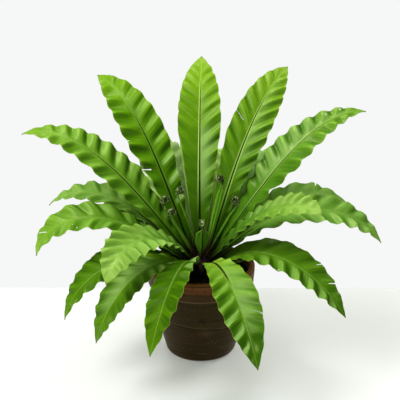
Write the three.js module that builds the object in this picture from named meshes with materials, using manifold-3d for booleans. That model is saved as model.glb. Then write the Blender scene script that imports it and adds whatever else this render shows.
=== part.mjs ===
// A bird's-nest fern in a fired-clay pot: the pot, its soil, the crown, and each frond as its own piece.
// Millimetres, +Z up. The origin is on the ground, at the middle of the pot's foot.
import * as THREE from 'three';
import { mergeVertices } from 'three/addons/utils/BufferGeometryUtils.js';
import Module from 'manifold-3d';

const wasm = await Module();
wasm.setup();

// Pot
const potHeight = 148;
const rimRadius = 85;
const rimWall = 8.5;
const collarHeight = 31;
const collarTuck = 4;
const bellyRadius = 75;
const footRadius = 45;
const footRounding = 11;
const potWall = 7.5;
const floorThickness = 9;
const drainHoles = 3;
const drainRadius = 5;
const drainCircle = 24;
const potSides = 36;

// Soil and crown
const soilLevel = 134;
const soilLumps = 1.3;
const crownRadius = 34;
const crownBottom = 104;
const crownTop = 159.5;
const crownSides = 20;

// Gap that is kept between pieces that touch
const clearance = 0.3;

// Frond: stalk in its socket, midrib and blade edge
const socketDepth = 9;
const rootPitch = 88;
const stalkHalfWidth = 2.5;
const stalkDepth = 4.2;
const stalkEdgeDepth = 2.4;
const stalkShare = 0.06;
const ribDepthMiddle = 2.8;
const ribDepthTip = 1.3;
const bladeThickness = 1.0;
const tipHalfWidth = 0.8;
const valleyAtBase = 0.26;
const valleyAtTip = 0.08;
const ruffleReach = 0.4;
const rowSpacing = 7.6;
const midribSteps = 120;

// Fiddlehead: a young frond whose tip is still rolled up
const coilLength = 34;
const coilTurn = 430;
const coilTightening = 1.6;
const coilRows = 12;
const coilHalfWidth = 4.2;
const coilDepth = 2.2;
const coilDepthTip = 1.4;
const youngValley = 0.35;
const youngBladeRows = 8;
const youngWidest = 0.6;
const youngNeck = 0.8;

// Rings on the crown that the fronds grow from: distance from the axis and height
const rings = {
  upright: { radius: 13, height: 154 },
  arching: { radius: 19.5, height: 150 },
  drooping: { radius: 27, height: 144.5 },
};

// Each frond leaves the crown at its heading, seen from above and counted from +X, and at its pitch above
// the ground. On the way to the tip its pitch falls by bend, mostly near the tip when late is large, and
// its heading turns by swerve. The blade is widest at peak, narrows towards the crown by the power narrow
// and towards the tip by the power blunt. It is turned about its midrib by roll, and twists by twist.
// left and right hold the ruffle of either edge: its height, the distance between its crests, and its
// phase in turns. Its crests lean towards the tip by slant. A shoulder broadens the blade near the crown.
const fronds = [
  { name: 'frond_01', ring: 'upright', heading: 93, pitch: 73, bend: 61.9, late: 1.87, swerve: -6,
    length: 366, width: 68.9, peak: 0.56, blunt: 2.48, narrow: 0.77, roll: 4.6, twist: -6.6,
    slant: 0.75, left: [1.15, 24.2, 0.04], right: [1.54, 29, 0.21] },
  { name: 'frond_02', ring: 'upright', heading: 147.1, pitch: 64.9, bend: 64, late: 2.84, swerve: -21,
    length: 358, width: 67, peak: 0.55, blunt: 2.56, narrow: 0.75, roll: 15.6, twist: 11.4,
    slant: 0.5, left: [3.4, 30.7, 0.2], right: [1.81, 30, 0.41] },
  { name: 'frond_03', ring: 'upright', heading: 38, pitch: 68.4, bend: 62.3, late: 2.33, swerve: 25.1,
    length: 364, width: 64.3, peak: 0.55, blunt: 2.63, narrow: 0.78, roll: -15, twist: -16.8,
    slant: 1.0, left: [1.4, 27.5, 0.17], right: [2.68, 27.3, 0.74] },
  { name: 'frond_04', ring: 'upright', heading: 178.4, pitch: 52.1, bend: 76, late: 3.02, swerve: -21.5,
    length: 357, width: 69.6, peak: 0.47, blunt: 2.19, narrow: 0.83, roll: 19.8, twist: 2.8,
    slant: 0.5, left: [2.56, 31, 0.84], right: [2.52, 26.6, 0.66] },
  { name: 'frond_05', ring: 'upright', heading: 6.1, pitch: 54.7, bend: 71.5, late: 3.13, swerve: 28.3,
    length: 366, width: 68.7, peak: 0.52, blunt: 1.52, narrow: 1.05, roll: 0.1, twist: -32.2,
    slant: 0.4, left: [2.69, 27.1, 0.7], right: [2.96, 30.1, 0.76], shoulder: 5 },
  { name: 'frond_06', ring: 'upright', heading: 224.2, pitch: 44, bend: 101.2, late: 1.91, swerve: 19.4,
    length: 248, width: 72.4, peak: 0.62, blunt: 2.22, narrow: 0.78, roll: 28.1, twist: -26.7,
    slant: 0.6, left: [2.74, 21.9, 0.38], right: [3.23, 20.6, 0.13], shoulder: 3 },
  { name: 'frond_07', ring: 'upright', heading: 324, pitch: 48, bend: 59, late: 2.55, swerve: -14,
    length: 268, width: 63, peak: 0.68, blunt: 2.3, narrow: 0.67, roll: -31, twist: 17,
    slant: 0.5, left: [3.0, 20, 0.57], right: [2.4, 24, 0.2], shoulder: 4 },
  { name: 'frond_08', ring: 'arching', heading: 168.1, pitch: 46.3, bend: 94.4, late: 2.07, swerve: -8.4,
    length: 276, width: 60.6, peak: 0.6, blunt: 2.04, narrow: 0.89, roll: 2.9, twist: 10.3,
    slant: 0.6, left: [2.27, 28.6, 0.29], right: [2.46, 27.9, 0.56] },
  { name: 'frond_09', ring: 'arching', heading: 192, pitch: 40, bend: 123.4, late: 2.53, swerve: -2.4,
    length: 289, width: 62.7, peak: 0.55, blunt: 2.49, narrow: 0.79, roll: 13.9, twist: 8.5,
    slant: 0.6, left: [2.6, 31.3, 0.94], right: [2.21, 29.9, 0.88] },
  { name: 'frond_10', ring: 'arching', heading: 353.6, pitch: 48.1, bend: 107.3, late: 1.63, swerve: 7.7,
    length: 309, width: 63.8, peak: 0.55, blunt: 2.17, narrow: 0.87, roll: -9.8, twist: -16.9,
    slant: 0.6, left: [2.02, 29.4, 0.64], right: [3.05, 30, 0.21], shoulder: 3 },
  { name: 'frond_11', ring: 'arching', heading: 114, pitch: 67, bend: 112, late: 1.9, swerve: 6,
    length: 295, width: 60, peak: 0.6, blunt: 2.2, narrow: 0.8, roll: 0, twist: 0,
    slant: 0.6, left: [2.2, 26, 0.72], right: [2.2, 27, 0.35] },
  { name: 'frond_12', ring: 'arching', heading: 70, pitch: 66, bend: 120, late: 1.8, swerve: 4,
    length: 280, width: 60, peak: 0.6, blunt: 2.2, narrow: 0.8, roll: 0, twist: 0,
    slant: 0.6, left: [2.2, 25, 0.17], right: [2.2, 26, 0.8] },
  { name: 'frond_13', ring: 'arching', heading: 27.8, pitch: 64, bend: 99, late: 2.03, swerve: 46.3,
    length: 262, width: 52.3, peak: 0.58, blunt: 2.03, narrow: 0.86, roll: -9.9, twist: -3.2,
    slant: 0.6, left: [2, 24, 0.92], right: [2.15, 24.8, 0.55], shoulder: 3 },
  { name: 'frond_14', ring: 'arching', heading: 140, pitch: 60, bend: 90, late: 1.8, swerve: 12,
    length: 215, width: 46, peak: 0.6, blunt: 2.0, narrow: 0.8, roll: 0, twist: 0,
    slant: 0.6, left: [2.0, 23, 0.52], right: [2.0, 24, 0.15] },
  { name: 'frond_15', ring: 'drooping', heading: 202.9, pitch: 32.7, bend: 108, late: 1.29, swerve: 3.9,
    length: 241, width: 69.5, peak: 0.5, blunt: 1.86, narrow: 0.8, roll: 16.9, twist: -14.8,
    slant: 0.6, left: [2.43, 30.8, 0.63], right: [1.24, 22.7, 0.11], shoulder: 4 },
  { name: 'frond_16', ring: 'drooping', heading: 231.8, pitch: 52.9, bend: 125.7, late: 0.86, swerve: -11.5,
    length: 248, width: 62.1, peak: 0.6, blunt: 2.39, narrow: 0.7, roll: 11.4, twist: -18.3,
    slant: 0.6, left: [1.69, 19.9, 0.2], right: [1.44, 24.6, 0.6], shoulder: 4 },
  { name: 'frond_17', ring: 'drooping', heading: 257.3, pitch: 61.9, bend: 113.3, late: 0.7, swerve: -4.8,
    length: 281, width: 56.6, peak: 0.54, blunt: 2.79, narrow: 0.72, roll: -11.7, twist: -10,
    slant: 0.6, left: [1.91, 26.1, 0.2], right: [1.15, 30.9, 0.14] },
  { name: 'frond_18', ring: 'drooping', heading: 284.1, pitch: 62.2, bend: 111.1, late: 0.6, swerve: 3.3,
    length: 295, width: 60.7, peak: 0.56, blunt: 2.47, narrow: 0.68, roll: -10.1, twist: -0.1,
    slant: 0.6, left: [1.66, 31, 0.73], right: [2.02, 26.2, 0.1] },
  { name: 'frond_19', ring: 'drooping', heading: 327.2, pitch: 60.7, bend: 112, late: 0.72, swerve: -5.6,
    length: 266, width: 68.1, peak: 0.42, blunt: 2.75, narrow: 0.64, roll: -20.1, twist: 18.6,
    slant: 0.6, left: [1.23, 31.4, 0.83], right: [2.48, 26.5, 0.04] },
  { name: 'frond_20', ring: 'drooping', heading: 29.8, pitch: 56.3, bend: 89.7, late: 1.33, swerve: -20,
    length: 265, width: 60, peak: 0.71, blunt: 2.45, narrow: 0.8, roll: 1.3, twist: -10,
    slant: 0.6, left: [1.87, 31.2, 0.9], right: [2.2, 27, 0.5] },
  { name: 'frond_21', ring: 'drooping', heading: 76, pitch: 66, bend: 125, late: 0.8, swerve: 6,
    length: 265, width: 60, peak: 0.58, blunt: 2.2, narrow: 0.75, roll: 0, twist: 0,
    slant: 0.6, left: [2.2, 25, 0.02], right: [2.2, 27, 0.65] },
  { name: 'frond_22', ring: 'drooping', heading: 112, pitch: 66, bend: 125, late: 0.8, swerve: -8,
    length: 265, width: 60, peak: 0.58, blunt: 2.2, narrow: 0.75, roll: 0, twist: 0,
    slant: 0.6, left: [2.2, 27, 0.42], right: [2.2, 25, 0.05] },
  { name: 'frond_23', ring: 'drooping', heading: 177, pitch: 44, bend: 70, late: 2.0, swerve: -4,
    length: 215, width: 50, peak: 0.6, blunt: 2.2, narrow: 0.8, roll: 22, twist: -6,
    slant: 0.6, left: [2.0, 24, 0.3], right: [2.0, 25, 0.75] },
];

// Fiddleheads: seat is where each leaves the crown, by distance and direction from the axis and by height.
// length runs to the start of the coil.
const fiddleheads = [
  { name: 'fiddlehead_1', seat: { radius: 5, direction: 150, height: 158 },
    heading: 177, pitch: 58, length: 101, width: 6 },
  { name: 'fiddlehead_2', seat: { radius: 8, direction: 205, height: 158 },
    heading: 197, pitch: 60, length: 84, width: 6 },
  { name: 'fiddlehead_3', seat: { radius: 6.5, direction: 85, height: 158 },
    heading: 176, pitch: 70, length: 106, width: 7 },
  { name: 'fiddlehead_4', seat: { radius: 7, direction: 272, height: 158 },
    heading: 278, pitch: 70, length: 61, width: 20 },
  { name: 'fiddlehead_5', seat: { radius: 7, direction: 20, height: 158 },
    heading: 30, pitch: 75, length: 121, width: 12 },
  { name: 'fiddlehead_6', seat: { radius: 8, direction: 325, height: 158 },
    heading: 359, pitch: 61, length: 101, width: 12 },
  { name: 'fiddlehead_7', seat: { radius: 27, direction: 342, height: 144.5 },
    heading: 357, pitch: 17, length: 38, width: 6 },
];

// Colours and finish
const finishes = {
  clay: new THREE.MeshStandardMaterial({ color: 0x3b2f20, roughness: 0.62, metalness: 0 }),
  soil: new THREE.MeshStandardMaterial({ color: 0x15100a, roughness: 1, metalness: 0 }),
  crown: new THREE.MeshStandardMaterial({ color: 0x2a1c12, roughness: 0.9, metalness: 0 }),
  leaf: new THREE.MeshStandardMaterial({ color: 0x4f8f1c, roughness: 0.38, metalness: 0 }),
  youngLeaf: new THREE.MeshStandardMaterial({ color: 0x6ea436, roughness: 0.42, metalness: 0 }),
};

const radians = THREE.MathUtils.degToRad;
const smooth = (value, from, to) => THREE.MathUtils.smoothstep(value, from, to);

// A point given by its distance and direction from the axis, and its height
function polar(radius, direction, height) {
  const turn = radians(direction);
  return new THREE.Vector3(radius * Math.cos(turn), radius * Math.sin(turn), height);
}

// A solid from triangles. Those that have shrunk to a line are dropped, and the faces are turned outwards.
function solidFrom(positions, indices) {
  const at = (i) => new THREE.Vector3(positions[3 * i], positions[3 * i + 1], positions[3 * i + 2]);
  let triangles = [];
  let volume = 0;
  for (let i = 0; i < indices.length; i += 3) {
    const [a, b, c] = [indices[i], indices[i + 1], indices[i + 2]];
    if (a === b || b === c || c === a) continue;
    triangles.push([a, b, c]);
    volume += at(a).dot(at(b).cross(at(c)));
  }
  if (volume < 0) triangles = triangles.map(([a, b, c]) => [a, c, b]);
  const vertProperties = new Float32Array(positions);
  const triVerts = new Uint32Array(triangles.flat());
  return new wasm.Manifold(new wasm.Mesh({ numProp: 3, vertProperties, triVerts }));
}

function solidFromGeometry(geometry) {
  geometry.deleteAttribute('normal');
  geometry.deleteAttribute('uv');
  const merged = mergeVertices(geometry, 1e-4);
  return solidFrom(merged.attributes.position.array, merged.index.array);
}

function meshFromSolid(name, solid, material) {
  const { vertProperties, triVerts } = solid.getMesh();
  const geometry = new THREE.BufferGeometry();
  geometry.setAttribute('position', new THREE.BufferAttribute(new Float32Array(vertProperties), 3));
  geometry.setIndex(new THREE.BufferAttribute(new Uint32Array(triVerts), 1));
  geometry.computeVertexNormals();
  const mesh = new THREE.Mesh(geometry, material);
  mesh.name = name;
  return mesh;
}

// A turned solid from a profile of [radius, height] pairs that starts and ends on the axis
function turned(profile, sides) {
  const points = profile.map(([radius, height]) => new THREE.Vector2(radius, height));
  return new THREE.LatheGeometry(points, sides).rotateX(Math.PI / 2);
}

// Outside of the pot's body from its rounded foot up to its rim band, as [radius, height] pairs
const potFlare = [
  [59, 20],
  [65, 42],
  [bellyRadius, 80],
];

// Inside of the pot from the floor to the mouth
const collarFoot = potHeight - collarHeight;
const mouthRadius = rimRadius - rimWall;
const potInside = [
  [footRadius - 0.5, floorThickness],
  ...potFlare.map(([radius, height]) => [radius - potWall, height]),
  [mouthRadius - 1, collarFoot + 4],
  [mouthRadius, potHeight - 6],
];

function makePot() {
  const rounding = [0.3, 0.6, 0.85].map((share) => {
    const angle = -Math.PI / 2 * (1 - share);
    return [footRadius + footRounding * Math.cos(angle), footRounding * (1 + Math.sin(angle))];
  });
  const outside = [
    [footRadius, 0],
    ...rounding,
    ...potFlare,
    [rimRadius - 2 - collarTuck, collarFoot - 4],
    [rimRadius - 2, collarFoot + 1],
    [rimRadius, potHeight - 7],
    [rimRadius - 2.4, potHeight],
    [mouthRadius + 2.4, potHeight],
  ];
  const shell = turned([[0, 0], ...outside, ...potInside.toReversed(), [0, floorThickness]], potSides);
  let pot = solidFromGeometry(shell);
  for (let i = 0; i < drainHoles; i++) {
    const drill = new THREE.CylinderGeometry(drainRadius, drainRadius, 3 * floorThickness, 12);
    const middle = polar(drainCircle, 90 + 360 * i / drainHoles, floorThickness / 2);
    drill.rotateX(Math.PI / 2).translate(middle.x, middle.y, middle.z);
    pot = pot.subtract(solidFromGeometry(drill));
  }
  return meshFromSolid('pot', pot, finishes.clay);
}

// The crown's side under the soil and its dome above it, as [radius, height] pairs from the bottom up
const crownRoot = [
  [crownRadius - 10, crownBottom],
  [crownRadius - 4, crownBottom + 14],
  [crownRadius, soilLevel - 2],
];
const crownDome = [
  [crownRadius - 0.5, 138.5],
  [crownRadius - 3, 143],
  [27, 146],
  [19.8, 150.9],
  [13.3, 154.9],
  [7, 157.9],
];

function makeSoil() {
  const gap = clearance + 0.15;
  const fill = potInside.slice(0, -1).map(([radius, height]) => [radius - clearance, height]);
  fill[0][1] += clearance;
  const hollow = crownRoot.map(([radius, height]) => [radius + gap, height]);
  hollow[0][1] -= gap;
  hollow.push([crownRadius + gap, soilLevel + 1]);
  const profile = [
    [0, floorThickness + clearance],
    ...fill,
    [mouthRadius - 0.4 - clearance, soilLevel - 1],
    [62, soilLevel],
    [46, soilLevel + 0.8],
    ...hollow.toReversed(),
    [0, crownBottom - gap],
  ];
  const geometry = turned(profile, potSides);
  const position = geometry.attributes.position;
  for (let i = 0; i < position.count; i++) {
    const [x, y, z] = [position.getX(i), position.getY(i), position.getZ(i)];
    const radius = Math.hypot(x, y);
    if (z < soilLevel - 0.5 || radius < crownRadius + 5) continue;
    position.setZ(i, z + soilLumps * Math.sin(x / 7 + 1) * Math.cos(y / 6));
  }
  return meshFromSolid('soil', solidFromGeometry(geometry), finishes.soil);
}

function directionFrom(heading, pitch) {
  const [h, p] = [radians(heading), radians(pitch)];
  const along = new THREE.Vector3(Math.cos(p) * Math.cos(h), Math.cos(p) * Math.sin(h), Math.sin(p));
  const side = new THREE.Vector3(Math.sin(h), -Math.cos(h), 0);
  return { along, side };
}

// Frame of a leaf at a point of its midrib: the directions to the blade's side and up, turned by roll
function leafFrame(point, { along, side }, roll) {
  const up = new THREE.Vector3().crossVectors(side, along);
  const [c, s] = [Math.cos(radians(roll)), Math.sin(radians(roll))];
  return {
    point: point.clone(),
    side: side.clone().multiplyScalar(c).addScaledVector(up, s),
    up: up.clone().multiplyScalar(c).addScaledVector(side, -s),
  };
}

// Midrib of a leaf that is given by its seat, its length and its direction at any share s of that length.
// Returns a function that gives the leaf's frame at s.
function midribOf(seat, length, directionAt, rollAt) {
  const points = [seat];
  for (let step = 0; step < midribSteps; step++) {
    const { along } = directionAt((step + 0.5) / midribSteps);
    points.push(points[step].clone().addScaledVector(along, length / midribSteps));
  }
  return (s) => {
    const place = THREE.MathUtils.clamp(s, 0, 1) * midribSteps;
    const step = Math.min(Math.floor(place), midribSteps - 1);
    const point = points[step].clone().lerp(points[step + 1], place - step);
    return leafFrame(point, directionAt(s), rollAt(s));
  };
}

// Cross-section of a leaf: three points on its upper face and the same three below, in order round it.
// edges holds, for the left and the right side, how far the edge lies from the rib and above it.
function section(frame, edges, ribDepth, edgeDepth, grow = 0) {
  const at = (across, above) => frame.point.clone()
    .addScaledVector(frame.side, across)
    .addScaledVector(frame.up, above);
  const [left, right] = edges;
  return [
    at(-left.out - grow, left.lift + grow),
    at(0, grow),
    at(right.out + grow, right.lift + grow),
    at(right.out + grow, right.lift - edgeDepth - grow),
    at(0, -ribDepth - grow),
    at(-left.out - grow, left.lift - edgeDepth - grow),
  ];
}

// Joins cross-sections into one closed solid. Both faces are split alike, from the rib towards the tip.
function loft(sections) {
  const positions = sections.flat().flatMap((point) => point.toArray());
  const indices = [];
  const last = 6 * (sections.length - 1);
  for (let row = 0; row < last; row += 6) {
    for (let k = 0; k < 6; k++) {
      const next = (k + 1) % 6;
      const [a, b, c, d] = [row + k, row + next, row + 6 + next, row + 6 + k];
      if (k % 3 === 0) indices.push(a, b, d, b, c, d);
      else indices.push(a, b, c, a, c, d);
    }
  }
  indices.push(0, 5, 4, 0, 4, 1, 1, 4, 3, 1, 3, 2);
  indices.push(...[0, 4, 5, 0, 1, 4, 1, 3, 4, 1, 2, 3].map((k) => last + k));
  return solidFrom(positions, indices);
}

// Stalk below the point where it leaves the crown: it turns upright on its way down into its socket
function stalkSections(seat, heading, pitch, roll, halfWidth, depths, grow = 0) {
  const sections = [];
  const steps = 2;
  const point = seat.clone();
  const deeper = grow / steps;
  for (let step = 0; step <= steps; step++) {
    const direction = directionFrom(heading, pitch + (rootPitch - pitch) * step / steps);
    const edge = { out: halfWidth, lift: 0 };
    const frame = leafFrame(point, direction, roll);
    sections.unshift(section(frame, [edge, edge], depths.rib, depths.edge, grow));
    point.addScaledVector(direction.along, -(socketDepth / steps + deeper));
  }
  return sections;
}

// Hole in the crown for a stalk, with the clearance all round, running on past the crown's surface
function socketFor(seat, heading, pitch, roll, halfWidth, depths) {
  const sections = stalkSections(seat, heading, pitch, roll, halfWidth, depths, clearance);
  const mouth = 9;
  const { along } = directionFrom(heading, pitch);
  const top = sections[sections.length - 1].map((point) => point.clone().addScaledVector(along, mouth));
  return loft([...sections, top]);
}

function frondSeat(frond) {
  const { radius, height } = rings[frond.ring];
  return polar(radius, frond.heading, height);
}

function frondHalfWidth(frond, s) {
  const rising = Math.pow(s / frond.peak, frond.narrow);
  const falling = 1 - Math.pow(Math.max(s - frond.peak, 0) / (1 - frond.peak), frond.blunt);
  const shoulder = (frond.shoulder ?? 0) * smooth(s, 0.05, 0.2) * (1 - smooth(s, 0.3, 0.7));
  const blade = frond.width / 2 * (s < frond.peak ? rising : falling) + shoulder;
  return THREE.MathUtils.lerp(stalkHalfWidth, blade, smooth(s, 0, stalkShare));
}

// Edge of the blade at s on one side: the valley along the rib lifts it, and the ruffle waves it up and
// down and in and out
function bladeEdge(frond, s, [height, spacing, phase]) {
  const half = frondHalfWidth(frond, s);
  const swell = height * smooth(s, 0.06, 0.32) * (1 - smooth(s, 0.84, 1));
  const turn = 2 * Math.PI * ((frond.length * s - frond.slant * half) / spacing + phase);
  const valley = THREE.MathUtils.lerp(valleyAtBase, valleyAtTip, s);
  return {
    out: Math.max(half + ruffleReach * swell * Math.cos(turn), s < 0.5 ? stalkHalfWidth : tipHalfWidth),
    lift: valley * half + swell * Math.sin(turn),
  };
}

const stalkDepths = { rib: stalkDepth, edge: stalkEdgeDepth };

function makeFrond(frond) {
  const directionAt = (s) => directionFrom(
    frond.heading + frond.swerve * s,
    frond.pitch - frond.bend * Math.pow(s, frond.late),
  );
  const rollAt = (s) => frond.roll + frond.twist * s;
  const seat = frondSeat(frond);
  const frameAt = midribOf(seat, frond.length, directionAt, rollAt);
  const stalk = stalkSections(seat, frond.heading, frond.pitch, frond.roll, stalkHalfWidth, stalkDepths);
  const rows = Math.round(frond.length / rowSpacing);
  const blade = [];
  for (let row = 1; row <= rows; row++) {
    const s = row / rows;
    const ribBelow = s < 0.35
      ? THREE.MathUtils.lerp(stalkDepth, ribDepthMiddle, s / 0.35)
      : THREE.MathUtils.lerp(ribDepthMiddle, ribDepthTip, (s - 0.35) / 0.65);
    const edgeDepth = THREE.MathUtils.lerp(stalkEdgeDepth, bladeThickness, smooth(s, 0, 0.12));
    const edges = [bladeEdge(frond, s, frond.left), bladeEdge(frond, s, frond.right)];
    blade.push(section(frameAt(s), edges, ribBelow, edgeDepth));
  }
  return meshFromSolid(frond.name, loft([...stalk, ...blade]), finishes.leaf);
}

function frondSocket(frond) {
  return socketFor(frondSeat(frond), frond.heading, frond.pitch, frond.roll, stalkHalfWidth, stalkDepths);
}

const fiddleheadStalk = { halfWidth: 1.9, depths: { rib: 2.8, edge: 1.8 } };

function fiddleheadSeat(young) {
  return polar(young.seat.radius, young.seat.direction, young.seat.height);
}

// A young frond: its narrow blade is widest just under the coil, and its tip is rolled towards the crown's axis
function makeFiddlehead(young) {
  const length = young.length + coilLength;
  const coilStart = young.length / length;
  const { halfWidth, depths } = fiddleheadStalk;
  const inCoil = (s) => Math.max(s - coilStart, 0) / (1 - coilStart);
  const directionAt = (s) => {
    return directionFrom(young.heading, young.pitch + coilTurn * Math.pow(inCoil(s), coilTightening));
  };
  const seat = fiddleheadSeat(young);
  const frameAt = midribOf(seat, length, directionAt, () => 0);
  const rowAt = (s) => {
    const open = smooth(s, 0, youngWidest * coilStart);
    const rolled = smooth(s, youngNeck * coilStart, coilStart);
    const side = THREE.MathUtils.lerp(halfWidth, young.width / 2, open);
    const out = THREE.MathUtils.lerp(side, coilHalfWidth, rolled);
    const edge = { out, lift: (1 - rolled) * youngValley * (side - halfWidth) };
    const rolledDepth = THREE.MathUtils.lerp(coilDepth, coilDepthTip, inCoil(s));
    const ribBelow = THREE.MathUtils.lerp(depths.rib, rolledDepth, rolled);
    const edgeDepth = THREE.MathUtils.lerp(depths.edge, rolledDepth, rolled);
    return section(frameAt(s), [edge, edge], ribBelow, edgeDepth);
  };
  const stalk = stalkSections(seat, young.heading, young.pitch, 0, halfWidth, depths);
  const rowsBetween = (from, to, rows) => {
    const shares = Array.from({ length: rows }, (_, i) => from + (to - from) * (i + 1) / rows);
    return shares.map(rowAt);
  };
  const blade = rowsBetween(0, coilStart, youngBladeRows);
  const coil = rowsBetween(coilStart, 1, coilRows);
  return meshFromSolid(young.name, loft([...stalk, ...blade, ...coil]), finishes.youngLeaf);
}

function fiddleheadSocket(young) {
  const { halfWidth, depths } = fiddleheadStalk;
  return socketFor(fiddleheadSeat(young), young.heading, young.pitch, 0, halfWidth, depths);
}

function makeCrown() {
  const profile = [[0, crownBottom], ...crownRoot, ...crownDome, [0, crownTop]];
  let crown = solidFromGeometry(turned(profile, crownSides));
  for (const frond of fronds) crown = crown.subtract(frondSocket(frond));
  for (const young of fiddleheads) crown = crown.subtract(fiddleheadSocket(young));
  return meshFromSolid('crown', crown, finishes.crown);
}

const fern = new THREE.Group();
fern.name = 'potted_fern';
fern.add(makePot(), makeSoil(), makeCrown());
fern.add(...fronds.map(makeFrond), ...fiddleheads.map(makeFiddlehead));

export default fern;
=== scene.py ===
# A bird's-nest fern in a fired-clay pot, finished all round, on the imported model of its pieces.
# The plant's own sizes are millimetres, as in the part's source, and become metres where a mesh is made.
import math
from collections import namedtuple

import bpy
import numpy as np
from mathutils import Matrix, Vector


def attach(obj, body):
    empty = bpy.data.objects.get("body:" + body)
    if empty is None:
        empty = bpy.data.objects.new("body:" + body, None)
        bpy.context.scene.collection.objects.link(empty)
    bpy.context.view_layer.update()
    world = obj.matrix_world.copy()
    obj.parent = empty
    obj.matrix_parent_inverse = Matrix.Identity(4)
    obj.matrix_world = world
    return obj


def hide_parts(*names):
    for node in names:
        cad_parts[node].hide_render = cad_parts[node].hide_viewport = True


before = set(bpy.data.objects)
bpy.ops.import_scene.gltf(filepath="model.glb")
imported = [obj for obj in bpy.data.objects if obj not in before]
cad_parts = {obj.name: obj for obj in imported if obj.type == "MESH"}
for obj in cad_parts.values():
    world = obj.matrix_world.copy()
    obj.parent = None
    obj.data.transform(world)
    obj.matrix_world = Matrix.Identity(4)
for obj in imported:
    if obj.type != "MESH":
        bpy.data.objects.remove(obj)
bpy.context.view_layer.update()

MM = 0.001
FULL_TURN = 2 * math.pi

# Camera, fitted to the pot's rim, foot and sides in the photograph
PHOTO_WIDTH = 400
FOCAL_LENGTH_PIXELS = 1088
SENSOR_WIDTH = 36
CAMERA_ELEVATION = math.radians(20)
CAMERA_DISTANCE = 1.672
CAMERA_AIM = Vector((-0.0012, 0, 0.2525))

# Table, which ends just behind the pot, and the pale room behind it
TABLE_BACK_EDGE = 0.227
TABLE_REACH = 4.0
TABLE_GLOW = 0.215
ROOM_SEEN = (0.925, 0.93, 0.93, 1)

# Light: the even light of the room, and round soft boxes given by azimuth, elevation, size and power. Only
# the sheens show as highlights, and they light nothing otherwise.
ROOM_LIGHT = 0.42
ROOM_LIGHT_COLOUR = (1.0, 1.0, 0.96, 1)
ROOM_GLOSS = 0.015
ROOM_GLOSS_COLOUR = (0.8, 0.8, 0.8, 1)
PLANT_MIDDLE = Vector((0, 0, 0.25))
LAMP_DISTANCE = 3.0
SOFT_BOXES = [
    ("key", 210, 46, 1.4, 78),
    ("left", 180, 62, 1.2, 14),
    ("right", 25, 43, 1.2, 42),
    ("back", 100, 40, 1.8, 42),
]
SHEENS = [
    ("sheen_high", 185, 72, 1.2, 54),
    ("sheen_low", 228, 50, 1.0, 29),
]

# Pot
POT_HEIGHT = 148
RIM_RADIUS = 85
RIM_WALL = 8.5
COLLAR_HEIGHT = 31
COLLAR_TUCK = 4
BELLY_RADIUS = 75
FOOT_RADIUS = 45
FOOT_ROUNDING = 11
POT_WALL = 7.5
FLOOR_THICKNESS = 9
DRAIN_HOLES = 3
DRAIN_RADIUS = 5
DRAIN_CIRCLE = 24
POT_SIDES = 192
COLLAR_FOOT = POT_HEIGHT - COLLAR_HEIGHT
MOUTH_RADIUS = RIM_RADIUS - RIM_WALL
# Outside of the body between its rounded foot and its rim band, and its inside from the floor to the mouth
POT_FLARE = [(59, 20), (65, 42), (BELLY_RADIUS, 80)]
POT_INSIDE = [
    (FOOT_RADIUS - 0.5, FLOOR_THICKNESS),
    *[(radius - POT_WALL, height) for radius, height in POT_FLARE],
    (MOUTH_RADIUS - 1, COLLAR_FOOT + 4),
    (MOUTH_RADIUS, POT_HEIGHT - 6),
]
# Line left by the potter's fingers round the body: its height, and its fall to the right
THROW_LINE_HEIGHT = 66.5
THROW_LINE_TILT = -0.085
# Fine rings from throwing: how far they stand out, their pace up the pot, how far they sway and how often
THROW_RINGS = [(0.10, 0.95, 0.5, 1), (0.06, 1.63, 0.8, 1), (0.10, 0.41, 0.9, 2)]
# Height where the redder band under the rim begins to show, and where it is full
RIM_BAND = (129.5, 132.5)

# Soil, with its slack to what it lies against, and the crown as distances from the axis and heights
SOIL_LEVEL = 134
SOIL_SIDES = 200
SOIL_WAVES = 26
SOIL_GRAINS = 1500
BARK_SHARE = 0.25
CLEARANCE = 0.3
SOIL_SLACK = 0.3
CROWN_RADIUS = 34
CROWN_BOTTOM = 104
CROWN_SIDES = 72
CROWN_SCALES = 1100
CROWN_PROFILE = [(24, CROWN_BOTTOM), (30, 118), (CROWN_RADIUS, 132), (33.5, 138.5), (31, 143), (27, 146),
                 (19.8, 150.9), (13.3, 154.9), (7, 157.9), (0, 159.5)]

# Fronds
SOCKET_DEPTH = 9
ROOT_PITCH = 88
ROOT_ROWS = 5
STALK_HALF_WIDTH = 2.5
STALK_DEPTH = 4.2
STALK_SHARE = 0.06
STALK_SCALES = 34
RIB_MIDDLE = 0.35
RIB_DEPTH_MIDDLE = 2.8
RIB_DEPTH_TIP = 1.3
RIB_BEAD = 0.45
BLADE_THICKNESS = 0.7
EDGE_THICKNESS = 0.4
TIP_HALF_WIDTH = 0.5
LEAST_HALF_WIDTH = 0.05
VALLEY_AT_BASE = 0.26
VALLEY_AT_TIP = 0.08
VALLEY_ROUNDING = 1.5
ARCH_OF_HALF = 0.09
RUFFLE_REACH = 0.4
RUFFLE_BROADENING = 0.2
RUFFLE_INSIDE = 0.9
VEIN_SPACING = 1.7
VEIN_LEAN = 0.15
ROW_SPACING = 2.0
TEAR_ROW_SPACING = 0.5
TEAR_MARGIN = 3
BLADE_COLUMNS = 16
KEEL_STEPS = (0.35, 0.7, 1.0)

# Rings on the crown that the fronds grow from: distance from the axis and height
RINGS = {"upright": (13, 154), "arching": (19.5, 150), "drooping": (27, 144.5)}

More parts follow.
